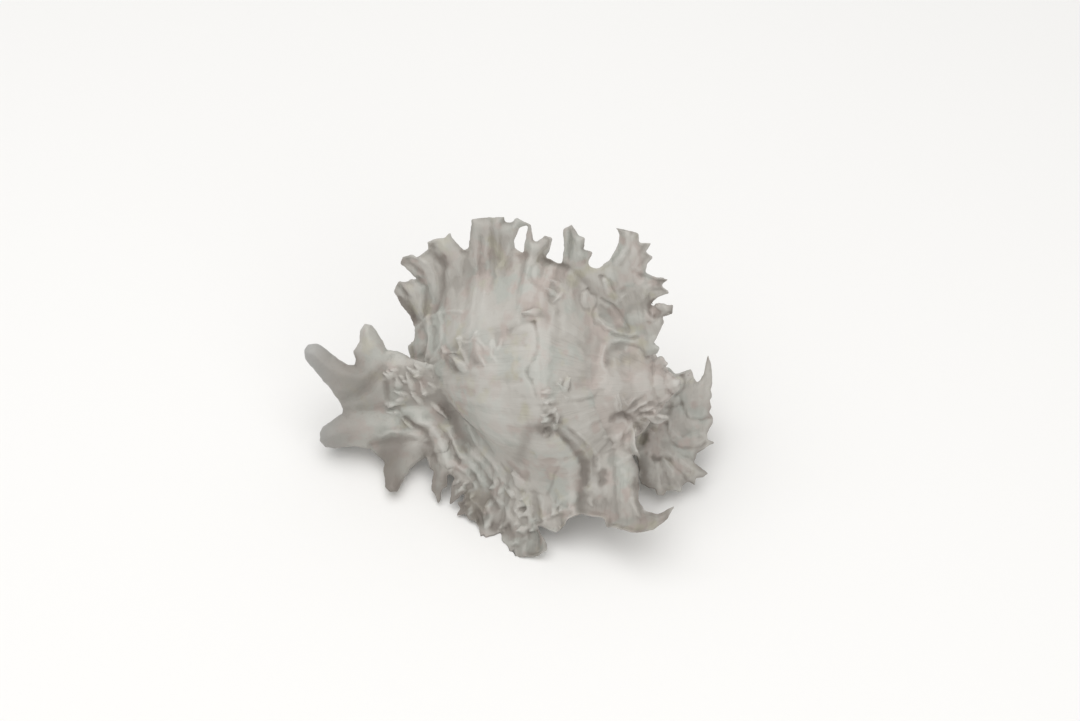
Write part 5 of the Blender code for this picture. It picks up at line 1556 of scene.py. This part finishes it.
def thinOut(item):
    triangles = sum(len(p.vertices) - 2 for p in item.data.polygons)
    step = item.modifiers.new("thin", "DECIMATE")
    step.ratio = fuse["mostTriangles"] / triangles
    step.use_collapse_triangulate = True
    applied(item)
    points = arrays(item.data)[0]
    points[:, 2] = np.maximum(points[:, 2], 0.0)  # nothing sinks into the floor
    movePoints(item, points)
    stage(f"thinned to {len(item.data.polygons)} triangles")


# Values on the points that the finishes read
pointValues = {
    "dipTimes": 14,  # smoothings that small hollows are measured against, and wide ones
    "deepTimes": 60,
    "frondReach": 14.0,  # mm off the whorl
    "tip": (168.0, 22.0),  # mm below the apex where the tips turn grey, and over how far
    "spire": (330.0, 90.0),  # degrees back where the spire begins, and over how far
    "spireReach": 12.0,
    "wall": (1.6, 0.8),  # mm from the hollow's own surface
}


def writeAttributes(item):
    look = pointValues
    points, normals, edges = arrays(item.data)
    back, root, size, off, radius, down = shellPlace(points)
    smooths = [spread(points, edges, look[times]) for times in ("dipTimes", "deepTimes")]
    dip, deep = (spread(((smooth - points) * normals).sum(1), edges, 2) for smooth in smooths)
    onSpire = np.clip(1 - off / look["spireReach"], 0, 1)
    (tipStart, tipOver), (spireStart, spireOver) = look["tip"], look["spire"]
    values = {
        "grown": alongGrowth(back),
        "across": root * size,
        "reach": radius,
        "frondness": np.clip(off / look["frondReach"], 0, 1),
        # painted shade in small and wide hollows and painted light on ridges, measured against smoothed
        # copies of the surface
        "cavityShadeAndLight": np.clip(0.5 + dip * 1.1 + deep * 0.35, 0, 1),
        "tip": np.clip((down - tipStart) / tipOver, 0, 1),
        "spire": np.clip((back - spireStart) / spireOver, 0, 1) * onSpire,
        # the drawn stains together with painted shade and painted light
        "stainShadeAndLight": spread(drawMarks(points, normals)[1], edges, 2),
    }
    for name, value in values.items():
        layer = item.data.attributes.new(name, "FLOAT", "POINT")
        layer.data.foreach_set("value", value.astype(np.float32))
    return insideHollow(back, radius, down)


# 1 on the wall of the hollow, 0 outside
def insideHollow(back, radius, down):
    loop = smoothLine(mouth["loop"], 80, closed=True)
    best = np.full(len(back), 1e9)
    for k in range(2):
        trial = back % 360.0 + 360.0 * k
        scale = whorlScale(trial)
        gap = np.full(len(back), 1e9)
        for a in loop:
            gap = np.minimum(gap, (radius / scale - a[0]) ** 2 + (down / scale - a[1]) ** 2)
        gap = np.sqrt(gap) * scale
        best = np.where(trial <= mouth["deep"] + 4, np.minimum(best, gap), best)
    far, over = pointValues["wall"]
    return np.clip((far - best) / over, 0, 1)


def linear(code):
    parts = [int(code[i : i + 2], 16) / 255.0 for i in (0, 2, 4)]
    return tuple(p / 12.92 if p <= 0.04045 else ((p + 0.055) / 1.055) ** 2.4 for p in parts) + (1.0,)


# Adds a node, sets it and links what comes into it, and gives back one of its outputs
def addNode(tree, kind, inputs, out=0, **settings):
    made = tree.nodes.new(kind)
    for name, value in settings.items():
        setattr(made, name, value)
    for name, value in inputs.items():
        if isinstance(value, bpy.types.NodeSocket):
            tree.links.new(value, made.inputs[name])
        else:
            made.inputs[name].default_value = value
    return made.outputs[out]


def newMaterial(name):
    material = bpy.data.materials.new(name)
    material.use_nodes = True
    tree = material.node_tree
    return material, tree, tree.nodes["Principled BSDF"]


# Weathered aragonite: laid down in layers by the living edge, then bleached and rolled by
# surf. It gives a dull, chalky grey with faint growth lines, painted shade in the crevices and
# painted light on the ridges, and drawn stains with painted shade and light over them.
aragonite = {
    "chalk": "b1ada6",
    "cool": "abaca5",
    "rosy": "aea49d",
    "straw": "aeaa9b",
    "shade": "79726b",
    "pale": "c3c1bb",
    "tipGrey": "a8abac",
    "patch": 15.0,  # mm, the soft clouds of colour
    "growthLine": 0.9,  # mm, drawn a little coarser than real
    "lineLength": 14.0,
    "fibre": 1.3,  # mm, the ribbing of the fronds
    "fibreLength": 11.0,
    "grit": 0.45,  # mm
    "gritShare": 0.3,
    "bump": 0.45,
    "bumpDepth": 0.5,  # mm
    "roughness": 0.62,
    "ior": 1.53,
    "specular": 0.35,
}


def weatheredAragonite():
    look = aragonite
    material, tree, surface = newMaterial("weathered_aragonite")
    where = addNode(tree, "ShaderNodeTexCoord", {}, "Object")
    values = {}
    for name in ("grown", "across", "reach", "frondness", "cavityShadeAndLight", "tip", "spire", "stainShadeAndLight"):
        values[name] = addNode(tree, "ShaderNodeAttribute", {}, "Fac", attribute_name=name)
    # growth lines, in mm along the growth, and the ribbing of the fronds
    patterns = []
    line, fibre = look["growthLine"], look["fibre"]
    for lengths in (
        {"X": ("grown", line), "Y": ("across", look["lineLength"])},
        {"X": ("grown", fibre), "Y": ("across", fibre), "Z": ("reach", look["fibreLength"])},
    ):
        sides = {}
        for side, (name, length) in lengths.items():
            sides[side] = addNode(tree, "ShaderNodeMath", {0: values[name], 1: length}, operation="DIVIDE")
        at = addNode(tree, "ShaderNodeCombineXYZ", sides)
        inputs = {"Vector": at, "Scale": 1.0, "Detail": 2.0}
        patterns.append(addNode(tree, "ShaderNodeTexNoise", inputs, "Fac"))
    grain = addNode(tree, "ShaderNodeMix", {0: values["frondness"], 2: patterns[0], 3: patterns[1]})
    # soft clouds of the other greys, and what lies over them: colour, the value that places it,
    # from where to where, how much
    layers = []
    clouds = (("cool", 1.0, 1.0, 0.47, 0.6), ("rosy", 1.7, 7.0, 0.5, 0.64), ("straw", 1.3, 12.0, 0.55, 0.7))
    for name, finer, seed, low, high in clouds:
        inputs = {"Vector": where, "W": seed, "Scale": finer / (look["patch"] * mm), "Detail": 3.0}
        cloud = addNode(tree, "ShaderNodeTexNoise", inputs, "Fac", noise_dimensions="4D")
        layers.append((name, cloud, low, high, 1.0))
    layers += [
        ("rosy", values["spire"], 0.0, 1.0, 0.6),
        ("tipGrey", values["tip"], 0.0, 1.0, 0.8),
        ("shade", grain, 0.5, 0.78, 0.22),
        # painted shade in the hollows and painted light on the ridges
        ("shade", values["cavityShadeAndLight"], 0.58, 1.0, 0.35),
        ("pale", values["cavityShadeAndLight"], 0.42, 0.1, 0.35),
        # the drawn marks: darker for stains and painted shade, paler for pale patches and painted light
        ("shade", values["stainShadeAndLight"], 0.05, 1.0, 0.85),
        ("pale", values["stainShadeAndLight"], -0.05, -0.7, 0.7),
    ]
    colour = linear(look["chalk"])
    for name, value, low, high, most in layers:
        inputs = {"Value": value, "From Min": low, "From Max": high, "To Max": most}
        share = addNode(tree, "ShaderNodeMapRange", inputs, "Result", interpolation_type="SMOOTHSTEP")
        inputs = {0: share, 6: colour, 7: linear(look[name])}
        colour = addNode(tree, "ShaderNodeMix", inputs, 2, data_type="RGBA")
    tree.links.new(colour, surface.inputs["Base Color"])
    inputs = {"Vector": where, "Scale": 1.0 / (look["grit"] * mm), "Detail": 3.0}
    grit = addNode(tree, "ShaderNodeTexNoise", inputs, "Fac")
    height = addNode(tree, "ShaderNodeMix", {0: look["gritShare"], 2: grain, 3: grit})
    inputs = {"Strength": look["bump"], "Distance": look["bumpDepth"] * mm, "Height": height}
    tree.links.new(addNode(tree, "ShaderNodeBump", inputs, "Normal"), surface.inputs["Normal"])
    surface.inputs["Roughness"].default_value = look["roughness"]
    surface.inputs["IOR"].default_value = look["ior"]
    surface.inputs["Specular IOR Level"].default_value = look["specular"]
    return material


# Porcellaneous inner layer: laid down smooth by the mantle inside the mouth. It gives a
# tight, slightly rosy, glazed skin.
porcelain = {
    "skin": "d9cdc4",
    "flush": "cbb0a2",
    "wave": 9.0,  # mm
    "bump": 0.15,
    "bumpDepth": 0.4,  # mm
    "roughness": 0.28,
    "ior": 1.53,
}


def porcellaneousLayer():
    look = porcelain
    material, tree, surface = newMaterial("porcellaneous_layer")
    where = addNode(tree, "ShaderNodeTexCoord", {}, "Object")
    inputs = {"Vector": where, "Scale": 1.0 / (look["wave"] * mm), "Detail": 2.0}
    cloud = addNode(tree, "ShaderNodeTexNoise", inputs, "Fac")
    inputs = {0: cloud, 6: linear(look["skin"]), 7: linear(look["flush"])}
    colour = addNode(tree, "ShaderNodeMix", inputs, 2, data_type="RGBA")
    tree.links.new(colour, surface.inputs["Base Color"])
    inputs = {"Strength": look["bump"], "Distance": look["bumpDepth"] * mm, "Height": cloud}
    tree.links.new(addNode(tree, "ShaderNodeBump", inputs, "Normal"), surface.inputs["Normal"])
    surface.inputs["Roughness"].default_value = look["roughness"]
    surface.inputs["IOR"].default_value = look["ior"]
    return material


def finishFaces(item, inside):
    mesh = item.data
    mesh.materials.clear()
    mesh.materials.append(weatheredAragonite())
    mesh.materials.append(porcellaneousLayer())
    corners = np.empty(len(mesh.loops), np.int32)
    mesh.loops.foreach_get("vertex_index", corners)
    share = inside[corners].reshape(-1, 3).mean(1)
    mesh.polygons.foreach_set("material_index", (share > 0.6).astype(np.int32))  # 1 is the glazed one
    mesh.shade_smooth()


# Plain studio: a pale floor, a broad lamp overhead, a weaker one and a pale sky all round. The
# floor is matte paper, rolled without a coating, which gives a pale ground with no shine.
# Places and sizes here are metres
studio = {
    "floor": "efeeec",
    "floorReach": 6.0,
    "floorDrop": 0.0003,
    "floorRoughness": 0.9,
    "sky": 0.62,
    "aim": (0.0, 0.0, 0.05),
    "keyPower": 16.0,
    "keySize": 1.8,
    "keyPlace": (-0.2, -0.1, 1.5),
    "fillPower": 3.0,
    "fillSize": 1.0,
    "fillPlace": (0.7, -1.2, 0.9),
}


def addLamp(name):
    light = bpy.data.lights.new(name, "AREA")
    light.energy, light.size = studio[name + "Power"], studio[name + "Size"]
    item = bpy.data.objects.new(name, light)
    bpy.context.scene.collection.objects.link(item)
    item.location = studio[name + "Place"]
    way = np.array(studio["aim"]) - np.array(studio[name + "Place"])
    lean = math.atan2(math.hypot(way[0], way[1]), -way[2])
    item.rotation_euler = (lean, 0.0, math.atan2(way[1], way[0]) - math.pi / 2)


def buildStudio():
    floorMesh = bpy.data.meshes.new("floor")
    reach = studio["floorReach"]
    corners = [(-reach, -reach, 0), (reach, -reach, 0), (reach, reach, 0), (-reach, reach, 0)]
    floorMesh.from_pydata(corners, [], [(0, 1, 2, 3)])
    floor = bpy.data.objects.new("floor", floorMesh)
    floor.location.z = -studio["floorDrop"]
    bpy.context.scene.collection.objects.link(floor)
    paper, _, surface = newMaterial("matte_paper")
    surface.inputs["Base Color"].default_value = linear(studio["floor"])
    surface.inputs["Roughness"].default_value = studio["floorRoughness"]
    floorMesh.materials.append(paper)
    floor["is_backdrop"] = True
    addLamp("key")
    addLamp("fill")
    world = bpy.data.worlds.new("sky")
    bpy.context.scene.world = world
    world.use_nodes = True
    sky = world.node_tree.nodes["Background"].inputs
    sky["Color"].default_value = (1.0, 1.0, 1.0, 1.0)
    sky["Strength"].default_value = studio["sky"]
    bpy.context.scene.view_settings.view_transform = "Standard"


def buildCamera():
    data = bpy.data.cameras.new("camera")
    data.lens, data.sensor_width = view["lens"], view["sensor"]
    camera = bpy.data.objects.new("camera", data)
    bpy.context.scene.collection.objects.link(camera)
    camera.location = eye * mm
    camera.rotation_euler = (math.pi / 2 - tilt, 0.0, 0.0)
    bpy.context.scene.camera = camera


buildCamera()
buildStudio()
shell = buildShell()
keepLargest(shell)
thinOut(shell)
finishFaces(shell, writeAttributes(shell))
stage("attributes and finishes on")
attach(shell, "root")
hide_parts("murex_shell")
bpy.context.view_layer.update()
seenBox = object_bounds()
for name, (low, high) in (("cad", cadBox), ("visual", seenBox)):
    print(name, [round(v * 1000, 2) for v in (*low, *high)])
